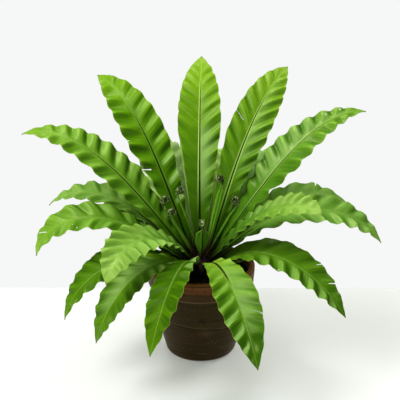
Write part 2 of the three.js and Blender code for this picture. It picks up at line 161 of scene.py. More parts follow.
# The rib leaves the crown by heading and pitch, in degrees. On its way to the tip the pitch falls by bend,
# later if late is high, and the heading turns by swerve. The blade is widest at the share peak of its length,
# blunt rounds its tip, and narrow draws in its base. It leans by roll about its rib, and by twist more at the
# tip. The crests of its waves lean towards the tip by slant. left and right hold the ruffle of either edge:
# its height, the distance between its crests, and its phase. A shoulder broadens the blade near the crown.
Frond = namedtuple("Frond", "name ring heading pitch bend late swerve length width peak blunt narrow "
                            "roll twist slant left right shoulder", defaults=[0])
FRONDS = [
    Frond("frond_01", "upright", 93, 73, 61.9, 1.87, -6, 366, 68.9, 0.56, 2.48, 0.77, 4.6, -6.6,
          0.75, (1.15, 24.2, 0.04), (1.54, 29, 0.21)),
    Frond("frond_02", "upright", 147.1, 64.9, 64, 2.84, -21, 358, 67, 0.55, 2.56, 0.75, 15.6, 11.4,
          0.5, (3.4, 30.7, 0.2), (1.81, 30, 0.41)),
    Frond("frond_03", "upright", 38, 68.4, 62.3, 2.33, 25.1, 364, 64.3, 0.55, 2.63, 0.78, -15, -16.8,
          1.0, (1.4, 27.5, 0.17), (2.68, 27.3, 0.74)),
    Frond("frond_04", "upright", 178.4, 52.1, 76, 3.02, -21.5, 357, 69.6, 0.47, 2.19, 0.83, 19.8, 2.8,
          0.5, (2.56, 31, 0.84), (2.52, 26.6, 0.66)),
    Frond("frond_05", "upright", 6.1, 54.7, 71.5, 3.13, 28.3, 366, 68.7, 0.52, 1.52, 1.05, 0.1, -32.2,
          0.4, (2.69, 27.1, 0.7), (2.96, 30.1, 0.76), 5),
    Frond("frond_06", "upright", 224.2, 44, 101.2, 1.91, 19.4, 248, 72.4, 0.62, 2.22, 0.78, 28.1, -26.7,
          0.6, (2.74, 21.9, 0.38), (3.23, 20.6, 0.13), 3),
    Frond("frond_07", "upright", 324, 48, 59, 2.55, -14, 268, 63, 0.68, 2.3, 0.67, -31, 17,
          0.5, (3.0, 20, 0.57), (2.4, 24, 0.2), 4),
    Frond("frond_08", "arching", 168.1, 46.3, 94.4, 2.07, -8.4, 276, 60.6, 0.6, 2.04, 0.89, 2.9, 10.3,
          0.6, (2.27, 28.6, 0.29), (2.46, 27.9, 0.56)),
    Frond("frond_09", "arching", 192, 40, 123.4, 2.53, -2.4, 289, 62.7, 0.55, 2.49, 0.79, 13.9, 8.5,
          0.6, (2.6, 31.3, 0.94), (2.21, 29.9, 0.88)),
    Frond("frond_10", "arching", 353.6, 48.1, 107.3, 1.63, 7.7, 309, 63.8, 0.55, 2.17, 0.87, -9.8, -16.9,
          0.6, (2.02, 29.4, 0.64), (3.05, 30, 0.21), 3),
    Frond("frond_11", "arching", 114, 67, 112, 1.9, 6, 295, 60, 0.6, 2.2, 0.8, 0, 0,
          0.6, (2.2, 26, 0.72), (2.2, 27, 0.35)),
    Frond("frond_12", "arching", 70, 66, 120, 1.8, 4, 280, 60, 0.6, 2.2, 0.8, 0, 0,
          0.6, (2.2, 25, 0.17), (2.2, 26, 0.8)),
    Frond("frond_13", "arching", 27.8, 64, 99, 2.03, 46.3, 262, 52.3, 0.58, 2.03, 0.86, -9.9, -3.2,
          0.6, (2, 24, 0.92), (2.15, 24.8, 0.55), 3),
    Frond("frond_14", "arching", 140, 60, 90, 1.8, 12, 215, 46, 0.6, 2.0, 0.8, 0, 0,
          0.6, (2.0, 23, 0.52), (2.0, 24, 0.15)),
    Frond("frond_15", "drooping", 202.9, 32.7, 108, 1.29, 3.9, 241, 69.5, 0.5, 1.86, 0.8, 16.9, -14.8,
          0.6, (2.43, 30.8, 0.63), (1.24, 22.7, 0.11), 4),
    Frond("frond_16", "drooping", 231.8, 52.9, 125.7, 0.86, -11.5, 248, 62.1, 0.6, 2.39, 0.7, 11.4, -18.3,
          0.6, (1.69, 19.9, 0.2), (1.44, 24.6, 0.6), 4),
    Frond("frond_17", "drooping", 257.3, 61.9, 113.3, 0.7, -4.8, 281, 56.6, 0.54, 2.79, 0.72, -11.7, -10,
          0.6, (1.91, 26.1, 0.2), (1.15, 30.9, 0.14)),
    Frond("frond_18", "drooping", 284.1, 62.2, 111.1, 0.6, 3.3, 295, 60.7, 0.56, 2.47, 0.68, -10.1, -0.1,
          0.6, (1.66, 31, 0.73), (2.02, 26.2, 0.1)),
    Frond("frond_19", "drooping", 327.2, 60.7, 112, 0.72, -5.6, 266, 68.1, 0.42, 2.75, 0.64, -20.1, 18.6,
          0.6, (1.23, 31.4, 0.83), (2.48, 26.5, 0.04)),
    Frond("frond_20", "drooping", 29.8, 56.3, 89.7, 1.33, -20, 265, 60, 0.71, 2.45, 0.8, 1.3, -10,
          0.6, (1.87, 31.2, 0.9), (2.2, 27, 0.5)),
    Frond("frond_21", "drooping", 76, 66, 125, 0.8, 6, 265, 60, 0.58, 2.2, 0.75, 0, 0,
          0.6, (2.2, 25, 0.02), (2.2, 27, 0.65)),
    Frond("frond_22", "drooping", 112, 66, 125, 0.8, -8, 265, 60, 0.58, 2.2, 0.75, 0, 0,
          0.6, (2.2, 27, 0.42), (2.2, 25, 0.05)),
    Frond("frond_23", "drooping", 177, 44, 70, 2.0, -4, 215, 50, 0.6, 2.2, 0.8, 22, -6,
          0.6, (2.0, 24, 0.3), (2.0, 25, 0.75)),
]

# How each frond looks: its shade at the base and at the tip, from -1 for deep green to 2 for palest, and how
# greyish pale it is, which give the frond's own colour and also painted light and shade for how lit or shaded
# it lies; how yellow it is, the share of its length where the dark of the midrib ends, how much darker the
# painted shade in the troughs of its waves is than the painted light on their crests, how far it shines, how
# strongly the light on the flanks of its waves is painted, and how pale that makes the flanks that face the
# light
Look = namedtuple("Look", "base tip pale yellow dark_to waves shine relief flare",
                  defaults=[0.3, 1, 1.2, 0.1])
LOOKS = {
    "frond_01": Look(-0.9, 1.2, 0.0, 0.55, 0.8, 0.3, 0.7, 1.4),
    "frond_02": Look(-0.9, 0.9, 0.0, 0.4, 0.72, 0.45, 0.7, 1.8, 0),
    "frond_03": Look(-0.85, 1.2, 0.1, 0.5, 0.8, 0.4, 0.9),
    "frond_04": Look(-0.6, 0.9, 0.5, 0.4, 0.7, 0.5, 0.8, 1.6, 0.05),
    "frond_05": Look(-0.5, 0.9, 0.5, 0.2, 0.85, 0.6),
    "frond_06": Look(-0.3, 1.15, 1.2, 0.3, 0.3),
    "frond_07": Look(-1.1, 1.4, 1.0, 0.3, 0.5),
    "frond_08": Look(-0.2, 1.25, 1.0, 0.1, 0.45),
    "frond_09": Look(-0.5, 1.1, 0.5, 0.3, 0.4),
    "frond_10": Look(-0.1, 0.5, 1.2, 0.1, 0.3, 0.4),
    "frond_11": Look(2.0, 2.3, 1.4, 0.0, 0.0, 0.3, 0.0),
    "frond_12": Look(1.6, 2.2, 1.3, 0.2, 0.0, 0.3, 0.0),
    "frond_13": Look(0.8, 1.1, 1.4, -0.4, 0.3, 0.3, 0.0),
    "frond_14": Look(0.0, 0.6, 0.5, 0.2, 0.3),
    "frond_15": Look(-0.5, -0.1, 0.1, 0.7, 0.2, 0.4, 1, 3, 0.3),
    "frond_16": Look(0.0, -0.3, 0.3, 0.8, 0.2, 0.5, 1, 3.5, 0.5),
    "frond_17": Look(-1.6, -0.3, 0.1, 1.0, 0.12, 0.5, 0.2, 4, 0.6),
    "frond_18": Look(1.3, -0.9, 0.4, 0.6, 0.5, 0.4, 0.6, 2.2, 0.35),
    "frond_19": Look(0.35, -0.5, 0.3, 0.6, 0.1, 0.4, 1, 2.0, 0.2),
    "frond_20": Look(0.3, 0.8, 1.2, 0.0, 0.3),
    "frond_21": Look(-0.4, 0.2, 0.0, 0.0, 0.3),
    "frond_22": Look(-0.4, 0.2, 0.0, 0.0, 0.3),
    "frond_23": Look(-0.3, 0.2, 0.0, 0.1, 0.3),
}
# Direction of the light that is painted on the flanks
KEY_DIRECTION = np.array([-0.60, -0.35, 0.72])

# Pale streaks on the flanks of the waves, where the light catches them: the side of the rib, the shares of
# the length that they begin and end at, the phase of the wave in degrees where they lie, and their strength
Streak = namedtuple("Streak", "side first last phase strength")
STREAKS = {
    "frond_02": [Streak(1, 0.2, 0.5, 150, 0.65)],
    "frond_04": [Streak(1, 0.35, 0.95, 150, 0.1)],
    "frond_05": [Streak(-1, 0.4, 0.85, 125, 0.4), Streak(-1, 0.35, 0.8, 0, 0.4)],
}
# Pale bands along the rib, painted highlights where the blade beside the rib catches the light: the side, the
# shares that they begin and end at, how far out they reach as a share of the half width, and their strength
Band = namedtuple("Band", "side first last reach strength")
BANDS = {
    "frond_01": [Band(1, 0.2, 0.6, 0.9, 0.4)],
    "frond_03": [Band(1, 0.35, 0.95, 0.7, 0.15)],
    "frond_05": [Band(-1, 0.35, 0.95, 0.5, 0.3)],
    "frond_16": [Band(1, 0.3, 0.85, 0.9, 0.25)],
    "frond_18": [Band(-1, 0.25, 0.8, 1.0, 0.2)],
}
# Stretches of a blade's edge that are curled up or carry a painted highlight along the edge: the side of the
# rib, the shares of the length that it begins and ends at, how much wider the blade is there, how far the
# edge rises, and how pale the painted highlight is
Curl = namedtuple("Curl", "side first last wider rise pale")
CURLS = {
    "frond_01": [Curl(-1, 0.25, 0.5, 0, 0, 0.6)],
    "frond_02": [Curl(-1, 0.24, 0.46, 3.0, 0, 0.95)],
    "frond_04": [Curl(1, 0.28, 0.52, 0.5, 6.0, 0)],
}
# Midribs: how wide the dark line is against the usual, how strong the pale lines on its left and right are,
# which are painted highlights along the raised rib, and how far to the right it lies
Midrib = namedtuple("Midrib", "width left right shift", defaults=[1, 0.1, 0.1, 0])
MIDRIBS = {
    "frond_01": Midrib(0.75, 1.0, 0.1, 0.9),
    "frond_02": Midrib(0.8, 0.1, 0.1, 0),
    "frond_03": Midrib(0.7, 0.6, 0.7, 0),
    "frond_04": Midrib(0.8, 0.2, 0.2, 0),
    "frond_05": Midrib(0.65, 0.6, 0.3, 0),
}
# Tears and holes: from one point of the blade to another, each given by the distance along the midrib and
# the distance across, which is negative on the left, with the tear's half width at either point
Tear = namedtuple("Tear", "along_1 across_1 half_1 along_2 across_2 half_2")
TEARS = {
    "frond_02": [Tear(158.5, -32, 0.3, 152.8, -15.7, 0.9), Tear(209.5, -35, 1.3, 207.3, -28.5, 0.8)],
    "frond_03": [Tear(235, -32, 0.4, 223.8, -15.5, 0.5)],
    "frond_05": [Tear(292.1, -11.3, 0.9, 294.9, -10.2, 0.7), Tear(317, -8, 0.8, 319, -8.8, 0.9)],
    "frond_09": [Tear(258, 12, 0.8, 248.2, 2.5, 0.5), Tear(200.8, -23, 0.8, 199.7, -22.4, 0.8),
                 Tear(207.4, -17.4, 0.5, 205.2, -17.6, 0.5)],
    "frond_17": [Tear(194.5, 30, 0.5, 188.8, 11.6, 0.35)],
    "frond_18": [Tear(222.5, -30, 0.6, 210.3, -14.9, 0.35)],
    "frond_19": [Tear(147.2, 30.3, 0.8, 146.7, 28.6, 0.8), Tear(185.5, -35, 1.0, 179.7, -22.2, 0.5),
                 Tear(219.5, -26, 0.9, 211.7, -11.5, 0.45)],
    "frond_20": [Tear(216.5, -29, 1.4, 213.7, -19, 0.8)],
}

# Fiddleheads: seat is the distance and direction from the axis, and the height
Fiddlehead = namedtuple("Fiddlehead", "name seat heading pitch length width")
FIDDLEHEADS = [
    Fiddlehead("fiddlehead_1", (5, 150, 158), 177, 58, 101, 6),
    Fiddlehead("fiddlehead_2", (8, 205, 158), 197, 60, 84, 6),
    Fiddlehead("fiddlehead_3", (6.5, 85, 158), 176, 70, 106, 7),
    Fiddlehead("fiddlehead_4", (7, 272, 158), 278, 70, 61, 20),
    Fiddlehead("fiddlehead_5", (7, 20, 158), 30, 75, 121, 12),
    Fiddlehead("fiddlehead_6", (8, 325, 158), 359, 61, 101, 12),
    Fiddlehead("fiddlehead_7", (27, 342, 144.5), 357, 17, 38, 6),
]
COIL_LENGTH = 34
COIL_TURN = 430
COIL_TIGHTENING = 1.6
COIL_HALF_WIDTH = 4.6
COIL_NECK_HALF_WIDTH = 2.4
COIL_DEPTH = 2.2
COIL_DEPTH_TIP = 1.4
COIL_ROWS = 56
COIL_SCALES = 420
COIL_FLANK_SHARE = 0.6
COIL_HEART_SCALES = 170
YOUNG_VALLEY = 0.35
YOUNG_HALF_WIDTH = 1.9
YOUNG_DEPTH = 2.8
YOUNG_EDGE_DEPTH = 0.9
YOUNG_KEEL = 1.7
YOUNG_WIDEST = 0.6
YOUNG_NECK = 0.8
YOUNG_ROW_SPACING = 1.5
YOUNG_RING = 20
YOUNG_SCALES = 30

# Seeds of the random draws. Those of fronds and fiddleheads have the piece's number added.
RUFFLE_SEED = 100
FROND_SEED = 500
FIDDLEHEAD_SEED = 900
CROWN_SEED = 7
POT_SEED = 3
SOIL_SEED = 11


def smooth(value, low, high):
    share = np.clip((value - low) / (high - low), 0, 1)
    return share * share * (3 - 2 * share)


def window(value, start, full, fading, gone):
    """0 up to start, 1 from full to fading, and 0 again from gone on."""
    return smooth(value, start, full) * (1 - smooth(value, fading, gone))


def lerp(a, b, share):
    return a + (b - a) * share


def polar(radius, direction, height):
    turn = math.radians(direction)
    return np.array([radius * math.cos(turn), radius * math.sin(turn), height])


def unit(vectors):
    return vectors / np.maximum(np.linalg.norm(vectors, axis=-1, keepdims=True), 1e-9)


def square_to(vectors, ways):
    """Unit vectors square to each way, towards the vectors given."""
    return unit(vectors - ways * np.sum(vectors * ways, -1, keepdims=True))


def directions(heading, pitch):
    """Unit vectors along a rib, to its side and up from it, for headings and pitches in degrees."""
    h, p = np.broadcast_arrays(np.radians(heading), np.radians(pitch))
    along = np.stack([np.cos(p) * np.cos(h), np.cos(p) * np.sin(h), np.sin(p)], -1)
    side = np.stack([np.sin(h), -np.cos(h), np.zeros_like(h)], -1)
    return along, side, np.cross(side, along)


class Rib:
    """The curve that a leaf is built round, from the bottom of its stalk to its tip."""

    STEPS = 480
    ROOT_STEPS = 12

    def __init__(self, seat, length, heading_at, pitch_at, roll_at):
        self.root = SOCKET_DEPTH / length
        self.heading_at = heading_at
        self.pitch_at = pitch_at
        self.roll_at = roll_at
        shares = np.linspace(0, 1, self.STEPS + 1)
        root_shares = np.linspace(0, -self.root, self.ROOT_STEPS + 1)
        down = self.walk(seat, root_shares, length)
        self.points = np.vstack([down[:0:-1], self.walk(seat, shares, length)])
        self.shares = np.concatenate([root_shares[:0:-1], shares])

    def direction(self, share):
        """Directions at a share of the length. Below the crown's surface the rib turns upright."""
        heading = self.heading_at(np.maximum(share, 0))
        pitch = self.pitch_at(np.maximum(share, 0))
        sunk = np.maximum(-share, 0) / self.root
        return directions(heading, lerp(pitch, ROOT_PITCH, sunk))

    def walk(self, seat, shares, length):
        middles = (shares[1:] + shares[:-1]) / 2
        steps = self.direction(middles)[0] * (np.diff(shares) * length)[:, None]
        return np.vstack([seat, seat + np.cumsum(steps, 0)])

    def frame(self, share):
        """Point, side and up at each share, with the leaf's roll about its rib."""
        point = np.stack([np.interp(share, self.shares, self.points[:, k]) for k in range(3)], -1)
        _, side, up = self.direction(share)
        roll = np.radians(self.roll_at(np.maximum(share, 0)))[..., None]
        return point, side * np.cos(roll) + up * np.sin(roll), up * np.cos(roll) - side * np.sin(roll)


def frond_rib(frond):
    radius, height = RINGS[frond.ring]
    return Rib(
        polar(radius, frond.heading, height),
        frond.length,
        lambda s: frond.heading + frond.swerve * s,
        lambda s: frond.pitch - frond.bend * s ** frond.late,
        lambda s: frond.roll + frond.twist * s,
    )


def frond_half_width(frond, share):
    s = np.maximum(share, 0)
    rising = (s / frond.peak) ** frond.narrow
    falling = 1 - (np.maximum(s - frond.peak, 0) / (1 - frond.peak)) ** frond.blunt
    shoulder = frond.shoulder * window(s, 0.05, 0.2, 0.3, 0.7)
    blade = frond.width / 2 * np.where(s < frond.peak, rising, falling) + shoulder
    return np.maximum(lerp(STALK_HALF_WIDTH, blade, smooth(s, 0, STALK_SHARE)), LEAST_HALF_WIDTH)


class Ruffle:
    """The waves of one frond's blade. They grow from the rib to the edge, and their crests lean towards the
    tip. A little chance, seeded by the frond, keeps them from being alike."""

    def __init__(self, frond, seed):
        self.frond = frond
        self.chance = np.random.default_rng(seed).uniform(0, FULL_TURN, (2, 8))

    def side(self, across):
        """Height, spacing and phase of the waves, and the chance angles, on the side where a point lies."""
        right = across > 0
        own = [np.where(right, a, b) for a, b in zip(self.frond.right, self.frond.left)]
        return own, self.chance[right.astype(int)]

    def swell(self, share):
        return window(share, 0.06, 0.32, 0.84, 1)

    def turn(self, share, across):
        """Angle of the main wave, in radians."""
        (_, spacing, phase), chance = self.side(across)
        along = self.frond.length * share - self.frond.slant * np.abs(across)
        wander = 0.03 * np.sin(11 * share + chance[..., 0]) + 0.02 * np.sin(23 * share + chance[..., 1])
        return FULL_TURN * (along / spacing + phase + wander)

    def growth(self, share, out):
        """How far the waves have grown, a share of the way out from the rib."""
        return out ** lerp(1.9, 0.8, smooth(share, 0.2, 0.62))

    def lift(self, share, across, half):
        """Height of the waves above the blade's even surface. The lobes that hang or stand out to the front
        are broader than the notches between them."""
        out = np.clip(np.abs(across) / half, 0, 1.3)
        (height, _, _), chance = self.side(across)
        turn = self.turn(share, across)
        growth = self.growth(share, out)
        strength = 1 + 0.15 * np.sin(17 * share + chance[..., 2])
        broad = -RUFFLE_BROADENING * math.cos(math.radians(self.frond.heading)) * np.sign(across)
        inside = 1 + RUFFLE_INSIDE * smooth(share, 0.25, 0.5) * 4 * out * np.maximum(1 - out, 0)
        main = height * growth * inside * (np.sin(turn) + broad * np.cos(2 * turn))
        between = 0.4 * growth * np.sin(2.3 * turn + 9 * share + chance[..., 4])
        fine = 0.14 * smooth(out, 0.0, 0.4) * np.sin(5.3 * turn + 14 * share + chance[..., 5])
        return self.swell(share) * (strength * main + between + fine)

    def crest(self, share, across, half):
        """1 on the crests of the waves and -1 in their troughs, and 0 at the rib."""
        out = np.clip(np.abs(across) / half, 0, 1)
        return self.swell(share) * self.growth(share, out) * np.sin(self.turn(share, across))

    def glare(self, share, across, half):
        """How pale the light makes the blade, from 0 to 1."""
        out = np.clip(np.abs(across) / half, 0, 1)
        turn = self.turn(share, across)
        name = self.frond.name
        dark = 1 + 0 * turn
        for side, first, last, phase, strength in STREAKS.get(name, []):
            ends = window(share, first, first + 0.08, last - 0.08, last)
            flank = smooth(np.cos(turn - math.radians(phase)), 0.4, 1) * smooth(out, 0.1, 0.45)
            dark = dark * (1 - strength * ends * flank * (across * side > 0))
        for side, first, last, reach, strength in BANDS.get(name, []):
            ends = window(share, first, first + 0.15, last - 0.1, last)
            near = 1 - smooth(out, 0.3 * reach, reach)
            dark = dark * (1 - strength * ends * near * (across * side > 0))
        for edge in CURLS.get(name, []):
            ends = window(share, edge.first - 0.05, edge.first + 0.05, edge.last - 0.04, edge.last + 0.04)
            dark = dark * (1 - edge.pale * ends * smooth(out, 0.9, 0.96) * (across * edge.side > 0))
        return 1 - dark

    def reach(self, share, half, side):
        """How far the edge lies from the rib."""
        across = side * half
        (height, _, _), chance = self.side(across)
        ragged = 0.22 * np.sin(61 * share + chance[..., 6]) + 0.15 * np.sin(97 * share + chance[..., 7])
        turn = self.turn(share, across)
        scallop = np.cos(turn) - RUFFLE_BROADENING * np.cos(2 * turn)
        wave = RUFFLE_REACH * height * self.swell(share) * scallop
        least = np.where(share < 0.5, STALK_HALF_WIDTH, TIP_HALF_WIDTH)
        return np.maximum(half + wave + ragged * window(share, 0.1, 0.3, 0.9, 1), least)


def rib_depth(share):
    """Depth of the stalk and of the midrib under the blade."""
    s = np.clip(share, 0, 1)
    low = lerp(STALK_DEPTH, RIB_DEPTH_MIDDLE, s / RIB_MIDDLE)
    high = lerp(RIB_DEPTH_MIDDLE, RIB_DEPTH_TIP, (s - RIB_MIDDLE) / (1 - RIB_MIDDLE))
    return np.where(s < RIB_MIDDLE, low, high)


def keel_half_width(share):
    """Half width of the stalk and of the midrib."""
    return lerp(STALK_HALF_WIDTH - 0.1, 0.8, smooth(share, 0, 0.55) * 0.75 + np.clip(share, 0, 1) * 0.25)


def tear_distance(tear, along, across):
    """Distance outside a tear's edge, and the point of its edge nearest to each point of the blade."""
    start = np.array([tear.along_1, tear.across_1])
    run = np.array([tear.along_2, tear.across_2]) - start
    offset = np.stack([along, across], -1) - start
    place = np.clip(offset @ run / (run @ run), 0, 1)
    middle = start + place[..., None] * run
    away = np.stack([along, across], -1) - middle
    distance = np.linalg.norm(away, axis=-1)
    half = lerp(tear.half_1, tear.half_2, place)
    edge = middle + away / np.maximum(distance, 1e-6)[..., None] * half[..., None]
    return distance - half, edge


def curl(frond, share, side):
    """How much wider the blade is where its edge is curled up, and how far the edge rises there."""
    wider, rise = 0 * share, 0 * share
    for edge in CURLS.get(frond.name, []):
        middle = (edge.first + edge.last) / 2
        amount = window(share, edge.first, middle, middle, edge.last) * (side == edge.side)
        wider, rise = wider + edge.wider * amount, rise + edge.rise * amount
    return wider, rise


def frond_rows(frond, tears):
    """Shares of the length at which the blade has a row of points, closer together beside tears."""
    rows = [np.linspace(0, frond.length, int(frond.length / ROW_SPACING) + 1)]
    for tear in tears:
        low = min(tear.along_1, tear.along_2) - TEAR_MARGIN
        high = min(max(tear.along_1, tear.along_2) + TEAR_MARGIN, frond.length)
        rows.append(np.arange(low, high, TEAR_ROW_SPACING))
    return np.unique(np.round(np.concatenate(rows), 3)) / frond.length


def blade_grid(frond, tears, ruffle, root):
    """Where the blade's points lie along and across it, how far its edge reaches beside each of them, and
    which of the grid's cells the tears leave."""
    shares = np.concatenate([np.linspace(-root, 0, ROOT_ROWS)[:-1], frond_rows(frond, tears)])
    half = frond_half_width(frond, shares)
    keel = keel_half_width(shares)
    columns = []
    for side in (-1, 1):
        reach = np.maximum(ruffle.reach(shares, half, side), keel + 0.15) + curl(frond, shares, side)[0]
        steps = [keel * step for step in KEEL_STEPS]
        steps += [lerp(keel, reach, step / BLADE_COLUMNS) for step in range(1, BLADE_COLUMNS + 1)]
        columns.append([side * step for step in steps])
    across = np.stack([*columns[0][::-1], 0 * shares, *columns[1]], -1)
    along = np.repeat(shares[:, None], across.shape[1], 1) * frond.length
    reach = np.where(across < 0, -across[:, :1], across[:, -1:])

    cell_along = (along[1:, 1:] + along[:-1, :-1]) / 2
    cell_across = (across[1:, 1:] + across[:-1, :-1] + across[1:, :-1] + across[:-1, 1:]) / 4
    kept = np.ones(cell_along.shape, bool)
    for tear in tears:
        kept &= tear_distance(tear, cell_along, cell_across)[0] > 0
        outside, edge = tear_distance(tear, along, across)
        along = np.where(outside < 0, edge[..., 0], along)
        across = np.where(outside < 0, edge[..., 1], across)
    return along, across, reach, kept


def frond_shell(frond, rib, ruffle):
    """Points, faces, face materials and UV maps of one frond's blade, midrib and stalk."""
    along, across, reach, kept = blade_grid(frond, TEARS.get(frond.name, []), ruffle, rib.root)
    share = along / frond.length
    half = frond_half_width(frond, share)
    keel = keel_half_width(share)
    aside = np.abs(across)
    out = np.clip(aside / half, 0, 1.2)
    valley = lerp(VALLEY_AT_BASE, VALLEY_AT_TIP, np.clip(share, 0, 1))
    even = valley * (np.hypot(aside, VALLEY_ROUNDING) - VALLEY_ROUNDING)
    even = even + ARCH_OF_HALF * half * out * (1 - out)
    bead = RIB_BEAD * np.maximum(1 - (aside / keel) ** 2, 0) ** 2 * (1 - smooth(share, 0.7, 1))
    top = even + bead + ruffle.lift(share, across, half) * smooth(aside - keel, 0, 6)
    top = top + curl(frond, share, np.sign(across))[1] * smooth(aside / reach, 0.75, 1)
    blade = lerp(BLADE_THICKNESS, EDGE_THICKNESS, smooth(aside / reach, 0.8, 1))
    stalk = np.sqrt(np.clip(1 - (aside / (keel + 0.05)) ** 2, 0, 1))
    thickness = blade + np.maximum(rib_depth(share) - blade, 0) * stalk
    point, side, up = rib.frame(share)
    place = point + side * across[..., None]

    def raised(height):
        return place + up * height[..., None]

    points = np.concatenate([raised(top).reshape(-1, 3), raised(top - thickness).reshape(-1, 3)])
    faces, slots = shell_faces(kept)
    lit = (grid_normals(raised(top)) - grid_normals(raised(even + bead))) @ KEY_DIRECTION
    maps = {
        "Share": uv_map(aside / reach, share, 2),
        "Size": uv_map(across * MM, along * MM, 2),
        # The third UV map holds the painted light and shade of the waves and how pale their painted
        # highlights are
        "Painted_light": uv_map(*painted_wave_light(LOOKS[frond.name], ruffle, share, across, half, lit), 2),
    }
    return points, faces, slots, maps


def painted_wave_light(look, ruffle, share, across, half, lit):
    """How much painted light and shade the waves give each point, less near the tip, and how pale the painted
    highlights make it.
    """
    even_tip = lerp(1, 0.45, smooth(share, 0.6, 0.95))
    shade = (look.waves * ruffle.crest(share, across, half) + look.relief * lit) * even_tip
    glare = 1 - (1 - ruffle.glare(share, across, half)) * (1 - look.flare * smooth(lit, 0.02, 0.2))
    return shade, glare


def grid_normals(points):
    """Unit normals of a grid of points, on the side of the blade's upper face."""
    return unit(np.cross(np.gradient(points, axis=1), np.gradient(points, axis=0)))


def uv_map(u, v, copies=1):
    """UVs of a grid's points, once for each copy of the grid."""
    return np.tile(np.stack(np.broadcast_arrays(u, v), -1).reshape(-1, 2), (copies, 1))


def shell_faces(kept):
    """Faces of a closed shell over a grid of cells, and their materials: 0 for the upper face and the walls
    round what is kept, and 1 for the lower face."""
    rows, columns = kept.shape
    point = np.arange((rows + 1) * (columns + 1)).reshape(rows + 1, columns + 1)
    below = point.size
    corners = [point[:-1, :-1], point[:-1, 1:], point[1:, 1:], point[1:, :-1]]
    upper = np.stack([corner[kept] for corner in corners], -1)
    lower = upper[:, ::-1] + below
    padded = np.pad(kept, 1)
    beside = [padded[:-2, 1:-1], padded[1:-1, 2:], padded[2:, 1:-1], padded[1:-1, :-2]]
    walls = []
    for k in range(4):
        open_edge = kept & ~beside[k]
        a = corners[k][open_edge]
        b = corners[(k + 1) % 4][open_edge]
        walls.append(np.stack([a + below, b + below, b, a], -1))
    walls = np.concatenate(walls)
    return np.concatenate([upper, lower, walls]), np.repeat([0, 1, 0], [len(upper), len(lower), len(walls)])


def placed(name, data):
    """A new object in the scene, with its data."""
    made = bpy.data.objects.new(name, data)
    bpy.context.scene.collection.objects.link(made)
    return made


def make_piece(name, parts, materials, maps=None, sharp=math.radians(50)):
    """A mesh object at the origin. Each part holds points in mm, arrays of faces, and the material of each
    face or of all of them. maps holds UVs for the points of the first part."""
    points, faces, slots = np.zeros((0, 3)), [], []
    for own_points, own_faces, slot in parts:
        faces += [some + len(points) for some in own_faces]
        slots.append(np.broadcast_to(slot, sum(len(some) for some in own_faces)))
        points = np.vstack([points, own_points])
    used = np.unique(np.concatenate([np.ravel(some) for some in faces]))
    renumber = np.full(len(points), -1)
    renumber[used] = np.arange(len(used))
    mesh = bpy.data.meshes.new(name)
    polygons = [renumber[row].tolist() for some in faces for row in some]
    mesh.from_pydata((points[used] * MM).tolist(), [], polygons)
    corner = np.zeros(len(mesh.loops), int)
    mesh.loops.foreach_get("vertex_index", corner)
    for key, values in (maps or {}).items():
        whole = np.zeros((len(points), 2))
        whole[:len(values)] = values
        layer = mesh.uv_layers.new(name=key)
        layer.uv.foreach_set("vector", whole[used][corner].astype(np.float32).ravel())
    for material in materials:
        mesh.materials.append(material)
    mesh.polygons.foreach_set("material_index", np.concatenate(slots).astype(np.int32))
    mesh.shade_smooth()
    mesh.set_sharp_from_angle(angle=sharp)
    mesh.update()
    return placed(name, mesh)


def scale_blades(roots, ways, ups, lengths, slimness, bend):
    """Points and triangles of many small pointed scales. Each starts at its root, runs its way and bends
    towards its up; it has a three-sided section that narrows to its point."""
    rows = (0, 0.4, 0.75)
    lengths = lengths[:, None]
    sides = np.cross(ways, ups)
    points = []
    for row in rows:
        middle = roots + ways * (row * lengths) + ups * (bend * row ** 2 * lengths)
        wide = slimness * lengths * (1 - 0.75 * row)
        for turn in np.radians((90, 210, 330)):
            points.append(middle + sides * (math.cos(turn) * wide) + ups * (0.3 * math.sin(turn) * wide))
    points.append(roots + ways * lengths + ups * (bend * lengths))
    points = np.stack(points, 1)
    step = points.shape[1]
    pattern = [(2, 1, 0)]
    for row in range(len(rows) - 1):
        for k in range(3):
            a, b = 3 * row + k, 3 * row + (k + 1) % 3
            pattern += [(a, b, b + 3), (a, b + 3, a + 3)]
    last = 3 * (len(rows) - 1)
    pattern += [(last + k, last + (k + 1) % 3, step - 1) for k in range(3)]
    return points.reshape(-1, 3), repeated(pattern, step, len(roots))


def repeated(pattern, step, count):
    """The faces of one small body, repeated for count of them with step points each."""
    return (np.array(pattern)[None] + step * np.arange(count)[:, None, None]).reshape(-1, 3)


def stalk_scales(rib, count, rng, low, high, half_width, depth, length):
    """Brown scales on a stalk between two shares of its rib, lying along it on its sides and underneath."""
    share = rng.uniform(low, high, count)
    point, side, up = rib.frame(share)
    along = rib.direction(share)[0]
    turn = rng.uniform(math.radians(150), math.radians(390), count)
    outward = unit(side * np.cos(turn)[:, None] + up * np.sin(turn)[:, None])
    root = point + side * (half_width * np.cos(turn))[:, None]
    root = root + up * (depth * np.minimum(np.sin(turn), 0))[:, None]
    ways = unit(along + outward * rng.uniform(0.05, 0.45, count)[:, None])
    lengths = length * rng.uniform(0.6, 1.2, count)
    return scale_blades(root, ways, square_to(outward, ways), lengths, slimness=0.09, bend=0.12)


def make_frond(frond, number, materials):
    rib = frond_rib(frond)
    points, faces, slots, maps = frond_shell(frond, rib, Ruffle(frond, RUFFLE_SEED + number))
    rng = np.random.default_rng(FROND_SEED + number)
    scales, scale_faces = stalk_scales(rib, STALK_SCALES, rng, low=-0.2 * rib.root, high=0.1,
                                       half_width=STALK_HALF_WIDTH, depth=STALK_DEPTH, length=6)
    parts = [(points, [faces], slots), (scales, [scale_faces], 2)]
    piece = make_piece(frond.name + "_leaf", parts, materials, maps)
    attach(piece, "root")
    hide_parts(frond.name)


